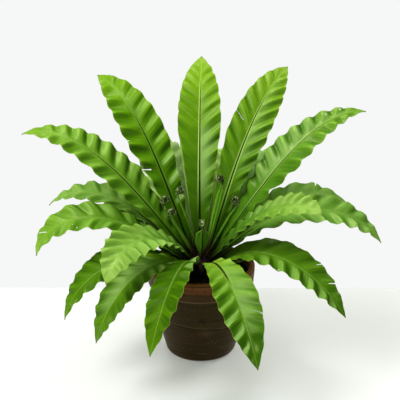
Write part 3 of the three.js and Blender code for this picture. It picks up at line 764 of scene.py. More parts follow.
def sweep_faces(rows, ring):
    """Quads of a closed tube of rows of ring points each, and its two end faces as fans of triangles."""
    point = np.arange(rows * ring).reshape(rows, ring)
    after = np.roll(point, -1, 1)
    quads = np.stack([point[:-1], after[:-1], after[1:], point[1:]], -1).reshape(-1, 4)
    start = [[point[0, 0], point[0, k + 1], point[0, k]] for k in range(1, ring - 1)]
    end = [[point[-1, 0], point[-1, k], point[-1, k + 1]] for k in range(1, ring - 1)]
    return quads, np.array(start + end)


def coil_half_width(within):
    """Half width of a coil, which is narrow in its outer turn and wide in its middle, so that it looks like
    a ball. within runs from 0 where the coil starts to 1 at its end."""
    broad = lerp(COIL_NECK_HALF_WIDTH, COIL_HALF_WIDTH, smooth(within, 0.15, 0.75))
    return broad * (1 - 0.35 * smooth(within, 0.85, 1))


def fiddlehead_shell(young, rib, start):
    """Points, faces and UV maps of a young leaf. Its coil begins at the share start of its length."""
    shares = np.concatenate([
        np.linspace(-rib.root, 0, ROOT_ROWS)[:-1],
        np.linspace(0, start, int(young.length / YOUNG_ROW_SPACING))[:-1],
        np.linspace(start, 1, COIL_ROWS),
    ])
    within = np.maximum(shares - start, 0) / (1 - start)
    rolled = smooth(shares, YOUNG_NECK * start, start)
    open_share = smooth(shares, 0, YOUNG_WIDEST * start)
    side_width = lerp(YOUNG_HALF_WIDTH, young.width / 2, open_share)
    reach = lerp(side_width, coil_half_width(within), rolled)
    lift = (1 - rolled) * YOUNG_VALLEY * (side_width - YOUNG_HALF_WIDTH)
    rolled_depth = lerp(COIL_DEPTH, COIL_DEPTH_TIP, within)
    depth = lerp(YOUNG_DEPTH, rolled_depth, rolled)
    edge = lerp(YOUNG_EDGE_DEPTH, rolled_depth, rolled)
    turns = np.linspace(0, FULL_TURN, YOUNG_RING, endpoint=False)
    cosine, sine = np.cos(turns)[None], np.sin(turns)[None]
    across = reach[:, None] * cosine
    keel = edge[:, None] + (depth - edge)[:, None] * np.exp(-(across / YOUNG_KEEL) ** 2)
    below = keel * np.abs(sine) ** 0.6
    ribs = 0.25 * np.abs(sine) * (1 - rolled[:, None])
    height = lift[:, None] * np.abs(cosine) + np.where(sine > 0, ribs, -below)
    point, side, up = rib.frame(np.repeat(shares[:, None], YOUNG_RING, 1))
    points = (point + side * across[..., None] + up * height[..., None]).reshape(-1, 3)
    quads, caps = sweep_faces(len(shares), YOUNG_RING)
    share_map = uv_map(np.abs(cosine), np.where(shares < start, shares / start, 1 + within)[:, None])
    size_map = uv_map(across * MM, (shares * (young.length + COIL_LENGTH))[:, None] * MM)
    return points, [quads[:, ::-1], caps[:, ::-1]], {"Share": share_map, "Size": size_map}


def make_fiddlehead(young, number, materials):
    length = young.length + COIL_LENGTH
    start = young.length / length
    rib = Rib(
        polar(*young.seat),
        length,
        lambda s: young.heading + 0 * s,
        lambda s: young.pitch + COIL_TURN * (np.maximum(s - start, 0) / (1 - start)) ** COIL_TIGHTENING,
        lambda s: 0 * s,
    )
    points, faces, maps = fiddlehead_shell(young, rib, start)
    rng = np.random.default_rng(FIDDLEHEAD_SEED + number)
    coil, coil_faces = coil_scales(rib, start, rng)
    stalk, stalk_faces = stalk_scales(rib, YOUNG_SCALES, rng, low=0, high=0.3,
                                      half_width=1.6, depth=2.4, length=4)
    parts = [(points, faces, 0), (coil, [coil_faces], 1), (stalk, [stalk_faces], 1)]
    piece = make_piece(young.name + "_leaf", parts, materials, maps)
    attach(piece, "root")
    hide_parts(young.name)


def coil_scales(rib, start, rng):
    """Woolly scales all over a coil: on its back, where they lie along it, on its two flat sides, and in its
    middle, which they fill."""
    count, inner = COIL_SCALES, COIL_HEART_SCALES
    share = rng.uniform(start * 0.92, 0.99, count)
    within = np.clip((share - start) / (1 - start), 0, 1)
    point, side, up = rib.frame(share)
    along = rib.direction(share)[0]
    flank = rng.uniform(0, 1, count) < COIL_FLANK_SHARE
    across = np.where(flank, np.where(rng.uniform(0, 1, count) < 0.5, -1, 1), rng.uniform(-1, 1, count))
    below = COIL_DEPTH * np.where(flank, rng.uniform(0.1, 1, count), 0.9)
    root = point + side * (coil_half_width(within) * across * 0.92)[:, None] - up * below[:, None]
    outward = unit(side * (0.9 * across)[:, None] - up * np.where(flank, 0.35, 1.0)[:, None])
    sway = side * rng.uniform(-0.5, 0.5, count)[:, None] + up * rng.uniform(-0.6, 0.6, count)[:, None]
    ways = along * rng.uniform(-1, 1, count)[:, None] + outward * rng.uniform(0.2, 0.8, count)[:, None] + sway
    lengths = rng.uniform(1.0, 2.0, count)

    heart = rib.frame(np.linspace(lerp(start, 1, 0.45), 1, 20))[0].mean(0)
    away = unit(rng.normal(0, 1, (inner, 3)))
    root = np.vstack([root, heart + side[:1] * rng.uniform(-3.6, 3.6, inner)[:, None] + away])
    ways = unit(np.vstack([ways, away]))
    outward = np.vstack([outward, unit(np.cross(away, rng.normal(0, 1, (inner, 3))))])
    lengths = np.concatenate([lengths, rng.uniform(1.4, 2.4, inner)])
    return scale_blades(root, ways, square_to(outward, ways), lengths, slimness=0.18, bend=0.1)


def turned_points(profile, sides, bumps=None):
    """Points of a turned surface, row by row from the profile's start, moved out by bumps(angle, height)."""
    profile = np.asarray(profile, float)
    angle = np.linspace(0, FULL_TURN, sides, endpoint=False)[None]
    radius = profile[:, :1] + (bumps(angle, profile[:, 1:]) if bumps else 0)
    z = profile[:, 1:] + 0 * angle
    return np.stack([radius * np.cos(angle), radius * np.sin(angle), z], -1)


def denser(profile, spacing):
    """The same profile with more points on it, about spacing apart."""
    made = [profile[0]]
    for (r1, z1), (r2, z2) in zip(profile, profile[1:]):
        steps = max(1, round(math.hypot(r2 - r1, z2 - z1) / spacing))
        made += [(lerp(r1, r2, k / steps), lerp(z1, z2, k / steps)) for k in range(1, steps + 1)]
    return made


def crown_scales(rng):
    """Scales all over the part of the crown above the soil, most of them pointing up it."""
    count = CROWN_SCALES
    dome = np.array(CROWN_PROFILE[2:])
    length = np.concatenate([[0], np.cumsum(np.hypot(*np.diff(dome, axis=0).T))])

    def on_dome(at):
        return np.interp(at, length, dome[:, 0]), np.interp(at, length, dome[:, 1])

    at = rng.uniform(0, 1, count) ** 0.8 * length[-1] * 0.97
    radius, height = on_dome(at)
    next_radius, next_height = on_dome(at + 0.5)
    slope = np.arctan2(next_height - height, next_radius - radius)
    angle = rng.uniform(0, FULL_TURN, count)
    out = np.stack([np.cos(angle), np.sin(angle), 0 * angle], -1)
    rise = np.array([0, 0, 1.0])
    along = out * np.cos(slope)[:, None] + rise * np.sin(slope)[:, None]
    outward = out * np.sin(slope)[:, None] - rise * np.cos(slope)[:, None]
    outward = outward * np.sign(np.sum(outward * (out + rise), -1))[:, None]
    roots = out * (radius - 0.8)[:, None] + rise * height[:, None]
    sway = np.cross(along, outward) * rng.uniform(-0.5, 0.5, count)[:, None]
    ways = unit(along * 0.8 + outward * rng.uniform(0.4, 1.1, count)[:, None] + sway)
    lengths = rng.uniform(4, 8, count)
    return scale_blades(roots, ways, square_to(outward, ways), lengths, slimness=0.1, bend=0.15)


def make_crown(materials):
    rng = np.random.default_rng(CROWN_SEED)
    chance = rng.uniform(0, FULL_TURN, 6)

    def bumps(angle, height):
        lumps = 0.5 * np.sin(5 * angle + height / 3 + chance[0])
        lumps = lumps + 0.4 * np.sin(9 * angle - height / 2 + chance[1])
        return np.minimum(lumps + 0.3 * np.sin(17 * angle + height + chance[2]), 0.6) - 0.6

    profile = denser([(0, CROWN_BOTTOM), *CROWN_PROFILE], spacing=2.0)[1:-1]
    points = turned_points(profile, CROWN_SIDES, bumps).reshape(-1, 3)
    scales, scale_faces = crown_scales(rng)
    parts = [(points, sweep_faces(len(profile), CROWN_SIDES), 0), (scales, [scale_faces], 1)]
    piece = make_piece("rootstock", parts, materials)
    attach(piece, "root")
    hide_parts("crown")


def arc(centre, radius, start, end, steps):
    """Points of an arc, given by its middle and the angles in degrees that it runs between."""
    turns = np.radians(np.linspace(start, end, steps + 1))
    return [(centre[0] + radius * math.cos(turn), centre[1] + radius * math.sin(turn)) for turn in turns]


def rounded(points, spacing, passes):
    """A profile made denser and its corners softened, its two ends kept."""
    line = np.array(denser(points, spacing))
    for _ in range(passes):
        line[1:-1] = (line[:-2] + 2 * line[1:-1] + line[2:]) / 4
    return [tuple(point) for point in line]


def pot_profile():
    """Half of the pot's section: from under the foot, up the outside, over the lip and down the inside."""
    foot = arc((FOOT_RADIUS, FOOT_ROUNDING), FOOT_ROUNDING, start=-90, end=-12, steps=10)
    body_top = (RIM_RADIUS - 2 - COLLAR_TUCK, COLLAR_FOOT - 3.5)
    body = rounded([foot[-1], *POT_FLARE, body_top], spacing=1.5, passes=12)
    step = [(RIM_RADIUS - 4.4, COLLAR_FOOT - 1.4), (RIM_RADIUS - 2.4, COLLAR_FOOT + 0.4)]
    collar_ends = [(RIM_RADIUS - 1.8, COLLAR_FOOT + 2.4), (RIM_RADIUS, POT_HEIGHT - 7)]
    collar = rounded(collar_ends, spacing=1.2, passes=1)
    lip_radius = RIM_WALL / 2
    lip_middle = (RIM_RADIUS - lip_radius, POT_HEIGHT - lip_radius)
    lip = arc(lip_middle, lip_radius, start=10, end=168, steps=14)
    inside = rounded([(MOUTH_RADIUS - 0.2, POT_HEIGHT - 7), *POT_INSIDE[-2::-1]], spacing=3, passes=3)
    return [(FOOT_RADIUS - 6, 0), *foot, *body[1:], *step, *collar, *lip, *inside]


def pot_bumps(angle, height, chance):
    """How far the outside of the pot stands out: fine rings from throwing, and two grooves round it."""
    front = angle + 0 * height
    rings = 0
    for k, (rise, pace, sway, turns) in enumerate(THROW_RINGS):
        bent = sway * np.sin(turns * front + chance[2 * k])
        rings = rings + rise * np.sin(height * pace + bent + chance[2 * k + 1])
    wobble = 0.35 * np.sin(2 * front + height / 60 + chance[6]) + 0.2 * np.sin(3 * front + chance[7])
    line = THROW_LINE_HEIGHT + THROW_LINE_TILT * BELLY_RADIUS * np.cos(front) + 0.5 * np.sin(9 * front + 1)
    deepest_in_front = 0.35 + 0.65 * np.cos(front + math.pi / 2 + 0.1) ** 2
    groove = -0.7 * np.exp(-((height - line) / 0.8) ** 2) * deepest_in_front
    low = -0.25 * np.exp(-((height - 18) / 0.7) ** 2)
    fade = window(height, 2, 12, POT_HEIGHT - 9, POT_HEIGHT - 3)
    return (rings + groove + low) * fade + wobble * smooth(height, 0, 20)


def make_pot(material):
    chance = np.random.default_rng(POT_SEED).uniform(0, FULL_TURN, 12)
    profile = pot_profile()
    lip_top = int(np.argmax([z for _, z in profile]))
    inner = np.arange(len(profile))[:, None] > lip_top

    def bumps(angle, height):
        moved = pot_bumps(angle, height, chance)
        return np.where(inner, 0.35 * moved, moved)

    points = turned_points(profile, POT_SIDES, bumps).reshape(-1, 3)
    parts = [(points, sweep_faces(len(profile), POT_SIDES), 0)]
    piece = make_piece("clay_pot", parts, [material], sharp=math.radians(60))
    cut_drain_holes(piece)
    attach(piece, "root")
    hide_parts("pot")


def cut_drain_holes(pot):
    """Cuts the holes through the pot's floor."""
    for k in range(DRAIN_HOLES):
        x, y, z = polar(DRAIN_CIRCLE, 90 + 360 * k / DRAIN_HOLES, FLOOR_THICKNESS / 2) * MM
        bpy.ops.mesh.primitive_cylinder_add(vertices=32, radius=DRAIN_RADIUS * MM,
                                            depth=3 * FLOOR_THICKNESS * MM, location=(x, y, z))
        drill = bpy.context.object
        cut = pot.modifiers.new("drain", "BOOLEAN")
        cut.operation = "DIFFERENCE"
        cut.object = drill
        bpy.context.view_layer.objects.active = pot
        bpy.ops.object.modifier_apply(modifier=cut.name)
        bpy.data.objects.remove(drill)


def make_soil(materials):
    """The soil fills the pot, with a lumpy top of grains and bits of bark, and a hollow for the crown."""
    rng = np.random.default_rng(SOIL_SEED)
    gap = CLEARANCE + SOIL_SLACK
    fill = [(radius - gap, height) for radius, height in POT_INSIDE[:-1]]
    fill[0] = (fill[0][0], fill[0][1] + CLEARANCE)
    under = [(2, FLOOR_THICKNESS + CLEARANCE), *fill, (MOUTH_RADIUS - 1.2, SOIL_LEVEL - 1.5)]
    level = denser([(MOUTH_RADIUS - 2, SOIL_LEVEL - 1), (62, SOIL_LEVEL), (46, SOIL_LEVEL + 0.8),
                    (CROWN_RADIUS + gap + 0.3, SOIL_LEVEL + 1)], spacing=1.0)
    hollow = [(radius + gap, height) for radius, height in CROWN_PROFILE[2::-1]]
    hollow[-1] = (hollow[-1][0], CROWN_BOTTOM - gap)
    profile = [*under, *level, *hollow]
    points = turned_points(profile, SOIL_SIDES)
    top = points[len(under):len(under) + len(level)]
    radius = np.hypot(top[..., 0], top[..., 1])
    free = window(radius, CROWN_RADIUS + 1, CROWN_RADIUS + 5, MOUTH_RADIUS - 4, MOUTH_RADIUS - 1.5)
    top[..., 2] += soil_lumps(top[..., 0], top[..., 1], rng) * free
    grains, grain_faces, grain_slots = soil_grains(rng)
    parts = [(points.reshape(-1, 3), sweep_faces(len(profile), SOIL_SIDES), 0),
             (grains, [grain_faces], grain_slots)]
    piece = make_piece("potting_soil", parts, materials)
    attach(piece, "root")
    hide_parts("soil")


def soil_lumps(x, y, rng):
    """Height of the lumps on the soil: one broad swell and many small waves every way."""
    made = 1.3 * np.sin(x / 7 + 1) * np.cos(y / 6)
    for _ in range(SOIL_WAVES):
        turn, size = rng.uniform(0, FULL_TURN), rng.uniform(2.0, 6.0)
        way = (x * math.cos(turn) + y * math.sin(turn)) / size
        made = made + 0.09 * size ** 0.6 * np.sin(math.pi * way + rng.uniform(0, 6))
    return made


def soil_grains(rng):
    """Crumbs and flakes of bark on the soil, as small squashed eight-faced stones."""
    count = SOIL_GRAINS
    corners = np.array([[1, 0, 0], [0, 1, 0], [-1, 0, 0], [0, -1, 0], [0, 0, 1], [0, 0, -1]], float)
    pattern = [[k, (k + 1) % 4, 4] for k in range(4)] + [[(k + 1) % 4, k, 5] for k in range(4)]
    radius = np.sqrt(rng.uniform((CROWN_RADIUS + 3) ** 2, (MOUTH_RADIUS - 5) ** 2, count))
    angle = rng.uniform(0, FULL_TURN, count)
    size = 0.5 + 1.9 * rng.uniform(0, 1, count) ** 3
    stretch = np.stack([rng.uniform(*limits, count) for limits in [(0.8, 1.9), (0.6, 1.1), (0.4, 0.8)]], -1)
    spin = rng.uniform(0, FULL_TURN, count)
    local = corners[None] * (stretch * size[:, None])[:, None] * rng.uniform(0.75, 1.2, (count, 6, 1))
    tilt = rng.uniform(-0.5, 0.5, count)[:, None]
    cosine, sine = np.cos(spin)[:, None], np.sin(spin)[:, None]
    x = local[..., 0] * cosine - local[..., 1] * sine
    y = local[..., 0] * sine + local[..., 1] * cosine
    z = local[..., 2] + tilt * local[..., 0]
    middle = np.stack([radius * np.cos(angle), radius * np.sin(angle),
                       SOIL_LEVEL + 0.4 + rng.uniform(-0.6, 1.2, count)], -1)
    points = np.stack([x, y, z], -1) + middle[:, None]
    bark = (rng.uniform(0, 1, count) < BARK_SHARE).astype(int)
    return points.reshape(-1, 3), repeated(pattern, len(corners), count), np.repeat(bark, len(pattern))


class Value:
    """A value that a material's nodes work out, with arithmetic that adds a node for each step."""

    def __init__(self, paint, socket):
        self.paint = paint
        self.socket = socket

    def __add__(self, other):
        return self.paint.math("ADD", self, other)

    def __sub__(self, other):
        return self.paint.math("SUBTRACT", self, other)

    def __rsub__(self, other):
        return self.paint.math("SUBTRACT", other, self)

    def __mul__(self, other):
        return self.paint.math("MULTIPLY", self, other)

    def __truediv__(self, other):
        return self.paint.math("DIVIDE", self, other)

    def __abs__(self):
        return self.paint.math("ABSOLUTE", self)


class Paint:
    """A material's node tree, built one node at a time from numbers, colours and values."""

    def __init__(self, name):
        self.material = bpy.data.materials.new(name)
        self.material.use_nodes = True
        self.tree = self.material.node_tree
        self.shader = self.tree.nodes["Principled BSDF"]

    def add(self, kind, inputs=None, output=0, **settings):
        """A new node's output. The settings come first, because they can change its sockets."""
        node = self.tree.nodes.new("ShaderNode" + kind)
        for key, value in settings.items():
            setattr(node, key, value)
        for key, value in (inputs or {}).items():
            self.put(node.inputs[key], value)
        return Value(self, node.outputs[output])

    def put(self, socket, value):
        if isinstance(value, Value):
            self.tree.links.new(value.socket, socket)
        else:
            socket.default_value = value

    def set(self, **values):
        for key, value in values.items():
            self.put(self.shader.inputs[key.replace("_", " ")], value)

    def math(self, operation, *values):
        return self.add("Math", dict(enumerate(values)), operation=operation)

    def smooth(self, value, low, high):
        inputs = {"Value": value, "From Min": low, "From Max": high}
        return self.add("MapRange", inputs, interpolation_type="SMOOTHSTEP")

    def between(self, value, low, high, to_low=0.0, to_high=1.0):
        return self.add("MapRange", {"Value": value, "From Min": low, "From Max": high,
                                     "To Min": to_low, "To Max": to_high})

    def mix(self, share, a, b):
        return self.add("Mix", {0: share, 6: a, 7: b}, output=2, data_type="RGBA")

    def over(self, share, strength, colour, mark):
        """The colour with a mark over it, where share is 1, as strong as strength."""
        return self.mix(share * strength, colour, mark)

    def noise(self, vector, scale, detail=2.0, roughness=0.5):
        inputs = {"Vector": vector, "Scale": scale, "Detail": detail, "Roughness": roughness}
        return self.add("TexNoise", inputs)

    def split(self, vector):
        node = self.add("SeparateXYZ", {0: vector}).socket.node
        return [Value(self, socket) for socket in node.outputs]

    def uv(self, name):
        return self.split(self.add("UVMap", uv_map=name))[:2]

    def place(self):
        return self.add("TexCoord", output="Object")

    def vector(self, x, y, z):
        return self.add("CombineXYZ", {0: x, 1: y, 2: z})

    def bump(self, height, strength, distance, normal=None):
        inputs = {"Height": height, "Strength": strength, "Distance": distance}
        if normal:
            inputs["Normal"] = normal
        return self.add("Bump", inputs)


def rgb(red, green, blue):
    """A linear colour from the usual 0 to 255 values."""
    shares = [value / 255 for value in (red, green, blue)]
    return (*[v / 12.92 if v <= 0.04045 else ((v + 0.055) / 1.055) ** 2.4 for v in shares], 1)


def blended(a, b, share):
    return tuple(lerp(x, y, share) for x, y in zip(a, b))


def leaf_greens(look, under):
    """Four greens of a frond, from the deepest to the palest."""
    tones = [rgb(42, 88, 1), rgb(64, 118, 2), rgb(98, 152, 12), rgb(142, 182, 60)]
    greyer = [rgb(50, 88, 18), rgb(84, 130, 38), rgb(122, 164, 70), rgb(164, 194, 118)]
    yellower = [rgb(52, 88, 2), rgb(88, 128, 6), rgb(136, 170, 30), rgb(176, 198, 80)]
    tones = [blended(a, b, 0.7 * look.pale) for a, b in zip(tones, greyer)]
    tones = [blended(a, b, 0.7 * look.yellow) for a, b in zip(tones, yellower)]
    if under:
        tones = [blended(a, rgb(112, 146, 78), 0.35) for a in tones]
    return tones


def with_midrib(paint, colour, across, share, midrib, dark_to, green):
    """The colour with the midrib on it. It is dark up to the share dark_to of the length and pale past it, it
    thins towards the tip, and it has a pale line on either side, a painted highlight along the raised rib."""
    past_dark = paint.smooth(share, dark_to * 0.85, dark_to + 0.1)
    width = paint.between(share, 0.0, 1.0, 0.0027, 0.0004) * paint.between(past_dark, 0.0, 1.0, 1.0, 0.55)
    shifted = across - paint.between(share, 0.2, 0.5, 0.0, midrib.shift * MM)
    beside = abs(shifted) / (width * midrib.width)
    line = paint.smooth(beside, 0.8, 1.3) * (1 - paint.smooth(beside, 1.9, 3.0))
    line = line * paint.smooth(share, 0.15, 0.4)
    line = line * paint.between(shifted, -0.0002, 0.0002, midrib.left, midrib.right)
    # The pale lines beside the rib are painted highlights
    colour = paint.mix(line, colour, rgb(160, 196, 96))
    dark_rib = paint.mix(paint.smooth(share, dark_to * 0.6, dark_to), rgb(9, 5, 2), rgb(44, 48, 10))
    rib_colour = paint.mix(past_dark, dark_rib, blended(green, rgb(176, 206, 108), 0.4))
    rib = (1 - paint.smooth(beside, 0.6, 1.1)) * paint.between(past_dark, 0.0, 1.0, 0.95, 0.35)
    return paint.mix(rib, colour, rib_colour)


def leaf_material(name, frond, look, under=False):
    """A frond's greens, deeper with painted shade and paler with painted light on its waves, and paler still
    with painted highlights, with side veins, a midrib, a yellowish edge, a brown tip, a few specks and a dark
    stalk."""
    paint = Paint(name)
    out, share = paint.uv("Share")
    across, along = paint.uv("Size")
    # Painted light and shade of the waves, and how pale their painted highlights are
    wave_shade, glare = paint.uv("Painted_light")
    flat = paint.vector(across, along, 0.0)
    slant = along - abs(across) * (frond.slant + VEIN_LEAN)
    vein = paint.math("SINE", (slant + paint.noise(flat, 60, 1) * 0.0012) * (FULL_TURN / (VEIN_SPACING * MM)))
    streaks = paint.noise(paint.vector(slant * 260.0, across * 16.0, 0.0), 1, 2)

    shade = paint.between(share, 0.1, 0.95, look.base, look.tip)
    shade = shade + paint.between(paint.noise(flat, 22, 3), 0.3, 0.7, -0.3, 0.2) + wave_shade
    shade = shade + paint.between(streaks, 0.35, 0.7, -0.12, 0.25) + vein * 0.07
    greens = leaf_greens(look, under)
    colour = greens[0]
    for step, green in enumerate(greens[1:]):
        colour = paint.mix(paint.between(shade, step - 1.0, float(step)), colour, green)
    # Pale painted highlights where the flanks, the bands by the rib and the curled edges catch the light
    colour = paint.mix(glare, colour, rgb(160, 200, 110))
    colour = paint.over(paint.smooth(out, 0.965, 1.0), 0.5, colour, rgb(160, 182, 56))
    colour = paint.over(paint.smooth(share, 0.975, 1.0), 0.7, colour, rgb(80, 68, 34))
    colour = paint.over(paint.smooth(paint.noise(flat, 170, 1), 0.74, 0.80), 0.5, colour, rgb(100, 88, 34))
    midrib = MIDRIBS.get(frond.name, Midrib())
    colour = with_midrib(paint, colour, across, share, midrib, look.dark_to, greens[2])
    colour = paint.over(1 - paint.smooth(share, 0.04, 0.14), 0.9, colour, rgb(14, 8, 4))

    wax = paint.between(paint.noise(flat, 40, 2), 0.3, 0.7, 0.30, 0.40)
    paint.set(Base_Color=colour, Roughness=wax + 0.16 if under else wax)
    paint.set(IOR=1.45, Specular_IOR_Level=0.36 * look.shine, Specular_Tint=(0.9, 1, 0.45, 1))
    paint.set(Normal=paint.bump(paint.noise(flat, 900, 2), 0.2, 0.00006, paint.bump(vein, 0.25, 0.00008)))
    return paint.material


def young_material(name):
    """Fiddleheads: brown at the foot, green along the blade, and mottled olive in the coil."""
    paint = Paint(name)
    out, share = paint.uv("Share")
    across, along = paint.uv("Size")
    mottled = paint.noise(paint.vector(across, along, 0.0), 300, 2)
    colour = paint.mix(paint.between(mottled, 0.3, 0.7), rgb(58, 110, 10), rgb(98, 150, 30))
    colour = paint.mix(paint.smooth(out, 0.8, 1.0), colour, rgb(120, 168, 48))
    brown = paint.mix(mottled, rgb(16, 9, 4), rgb(66, 34, 20))
    colour = paint.mix(1 - paint.smooth(share, 0.1, 0.45), colour, brown)
    colour = paint.over(1 - paint.smooth(abs(across), 0.0006, 0.0014), 0.9, colour, rgb(16, 11, 4))
    olive = paint.mix(paint.smooth(mottled, 0.46, 0.6), rgb(20, 42, 3), rgb(146, 168, 84))
    colour = paint.mix(paint.smooth(share, 0.9, 1.05), colour, olive)
    paint.set(Base_Color=colour, Roughness=0.42, IOR=1.45, Normal=paint.bump(mottled, 0.3, 0.0002))
    return paint.material


def scale_material(name, dark, light, dark_share):
    """Papery scales, darker in some places than in others."""
    paint = Paint(name)
    patch = paint.noise(paint.place(), 260, 2)
    paint.set(Base_Color=paint.mix(paint.between(patch, dark_share, 0.65), dark, light))
    paint.set(Roughness=paint.between(patch, 0.3, 0.7, 0.5, 0.75))
    paint.set(Normal=paint.bump(paint.noise(paint.place(), 1500, 2), 0.4, 0.0002))
    return paint.material


def soil_material(name, dark, light):
    """Dull crumbly earth or bark, darker in some places than in others."""
    paint = Paint(name)
    place = paint.place()
    patch = paint.noise(place, 180, 4, 0.6)
    paint.set(Base_Color=paint.mix(paint.between(patch, 0.35, 0.7), dark, light))
    paint.set(Roughness=paint.between(patch, 0.3, 0.7, 0.85, 1.0), Specular_IOR_Level=0.2)
    paint.set(Normal=paint.bump(paint.noise(place, 900, 3), 0.7, 0.0006))
    return paint.material


# Thin lines round the pot's lip, of which the pale ones are painted highlights on its rounded top: height,
# half height, strength and colour
LIP_LINES = [
    (POT_HEIGHT - 1.5, 1.2, 0.5, rgb(150, 96, 52)),
    (POT_HEIGHT - 4.2, 1.0, 0.7, rgb(40, 22, 10)),
    (POT_HEIGHT - 6.4, 0.9, 0.4, rgb(138, 92, 54)),
]
# Small marks on the front of the pot: across and height, half sizes, and colour
DARK_FLECK = (0.006, 0.004, 0.002, 1)
RED_FLECK = (0.09, 0.03, 0.012, 1)
PALE_FLECK = (0.2, 0.17, 0.12, 1)
POT_FLECKS = [
    (-19.5, 89, 2.6, 0.9, DARK_FLECK),
    (-15, 54, 3.0, 0.9, RED_FLECK),
    (9, 55, 5.0, 2.2, RED_FLECK),
    (31, 27, 1.3, 1.0, PALE_FLECK),
    (-3.5, 19.5, 2.2, 0.8, PALE_FLECK),
    (4, 18.5, 9.0, 0.5, PALE_FLECK),
    (-4, 112, 3.4, 0.7, DARK_FLECK),
    (-14, 137, 3.5, 0.8, DARK_FLECK),
    (6, 136, 2.0, 1.1, DARK_FLECK),
    (20, 141, 6.0, 0.6, PALE_FLECK),
]


def clay_material(name):
    """Fired clay: a reddish rim band, olive brown below it, redder brown under the throwing line, with fine
    rings from throwing, dark smudges, a dark line along the throwing line with a pale one above it, pale
    painted highlights on the lip and on the step at the collar's foot, and a dull sheen."""
    paint = Paint(name)
    place = paint.place()
    x, y, z = paint.split(place)
    height = z * (1 / MM)
    across = x * (1 / MM)
    streak = paint.noise(paint.vector(x * 12.0, y * 12.0, z * 420.0), 1, 3, 0.6)
    broad = paint.noise(paint.vector(x * 14.0, y * 14.0, z * 60.0), 1, 2)
    cloud = paint.noise(place, 26, 3)
    wander = paint.between(cloud, 0.3, 0.7, -1.5, 1.5)
    waver = height + wander
    tilted = height - across * THROW_LINE_TILT
    front = paint.smooth(y, -0.02, -0.05)

    def spot(x_mm, z_mm, half_width, half_height, soft=0.4):
        """1 on an oval mark on the front of the pot and 0 round it."""
        aside = (across - x_mm) / half_width
        above = (height - z_mm) / half_height
        away = paint.math("SQRT", aside * aside + above * above)
        return front * paint.smooth(away, 1.0, soft)

    def level(z_mm, half_height, value=height):
        """1 on a thin line round the pot and 0 above and below it."""
        return paint.smooth(abs(value - z_mm), half_height, 0.3 * half_height)

    def streaked(dark, light):
        return paint.mix(paint.between(streak, 0.3, 0.7), dark, light)

    upper = streaked(rgb(31, 25, 7), rgb(48, 39, 15))
    lower = streaked(rgb(29, 21, 5), rgb(48, 35, 13))
    over_line = paint.smooth(tilted + wander, THROW_LINE_HEIGHT - 1, THROW_LINE_HEIGHT + 3)
    colour = paint.mix(over_line, lower, upper)
    collar = streaked(rgb(44, 30, 15), rgb(66, 46, 26))
    colour = paint.mix(paint.smooth(height, COLLAR_FOOT - 2, COLLAR_FOOT + 2), colour, collar)
    colour = paint.mix(paint.smooth(waver, *RIM_BAND), colour, streaked(rgb(66, 36, 14), rgb(104, 64, 30)))
    seam = level(THROW_LINE_HEIGHT, 1.5, tilted) * paint.smooth(broad, 0.38, 0.6)
    seam_in_front = level(THROW_LINE_HEIGHT, 1.6, tilted) * spot(6, 66, 24, 8, 0.5)
    ragged = paint.between(paint.noise(place, 160, 3), 0.35, 0.6, 0.2, 1.0)
    speck = paint.noise(place, 420, 1)
    # Where each mark lies, its strength and its colour
    marks = [
        (paint.smooth(broad, 0.52, 0.7), 0.45, rgb(26, 20, 10)),
        (paint.smooth(cloud, 0.55, 0.72), 0.25, rgb(86, 66, 42)),
        # Pale lines painted as highlights on the rounded lip, and a dark line between them
        *[(level(z_mm, half_height), strength, mark) for z_mm, half_height, strength, mark in LIP_LINES],
        # A painted highlight on the step at the collar's foot
        (level(COLLAR_FOOT - 0.6, 1.0, waver), 0.55, rgb(112, 98, 74)),
        (seam, 0.7, rgb(14, 10, 5)),
        (level(THROW_LINE_HEIGHT + 2.0, 1.0, tilted), 0.25, rgb(96, 76, 50)),
        (seam_in_front, 0.85, rgb(12, 8, 4)),
        (spot(2, 82, 11, 9, 0.1) * ragged, 0.9, rgb(12, 10, 5)),
        *[(spot(*oval), 0.6, mark) for *oval, mark in POT_FLECKS],
        (paint.smooth(speck, 0.70, 0.76), 0.5, rgb(122, 100, 70)),
        (paint.smooth(speck, 0.33, 0.27), 0.7, rgb(14, 10, 6)),
    ]
    for share, strength, mark in marks:
        colour = paint.over(share, strength, colour, mark)

    paint.set(Base_Color=colour, Roughness=paint.between(streak, 0.3, 0.7, 0.46, 0.62))
    paint.set(Specular_IOR_Level=0.1, Specular_Tint=(1, 0.8, 0.5, 1))
    paint.set(Sheen_Weight=0.1, Sheen_Tint=(1, 0.72, 0.4, 1))
    paint.set(Normal=paint.bump(paint.noise(place, 700, 3), 0.25, 0.0002, paint.bump(streak, 0.3, 0.0004)))
    return paint.material


def table_material(name):
    paint = Paint(name)
    cloud = paint.noise(paint.place(), 3, 2)
    paint.set(Base_Color=paint.mix(cloud, (0.60, 0.61, 0.60, 1), (0.62, 0.63, 0.615, 1)), Roughness=0.8)
    paint.set(Emission_Color=(0.97, 1.0, 0.9, 1), Emission_Strength=TABLE_GLOW)
    return paint.material


def make_table():
    points = [(-TABLE_REACH, -TABLE_REACH, 0), (TABLE_REACH, -TABLE_REACH, 0),
              (TABLE_REACH, TABLE_BACK_EDGE, 0), (-TABLE_REACH, TABLE_BACK_EDGE, 0)]
    mesh = bpy.data.meshes.new("table")
    mesh.from_pydata(points, [], [(0, 1, 2, 3)])
    mesh.materials.append(table_material("table_white"))
    table = placed("table", mesh)


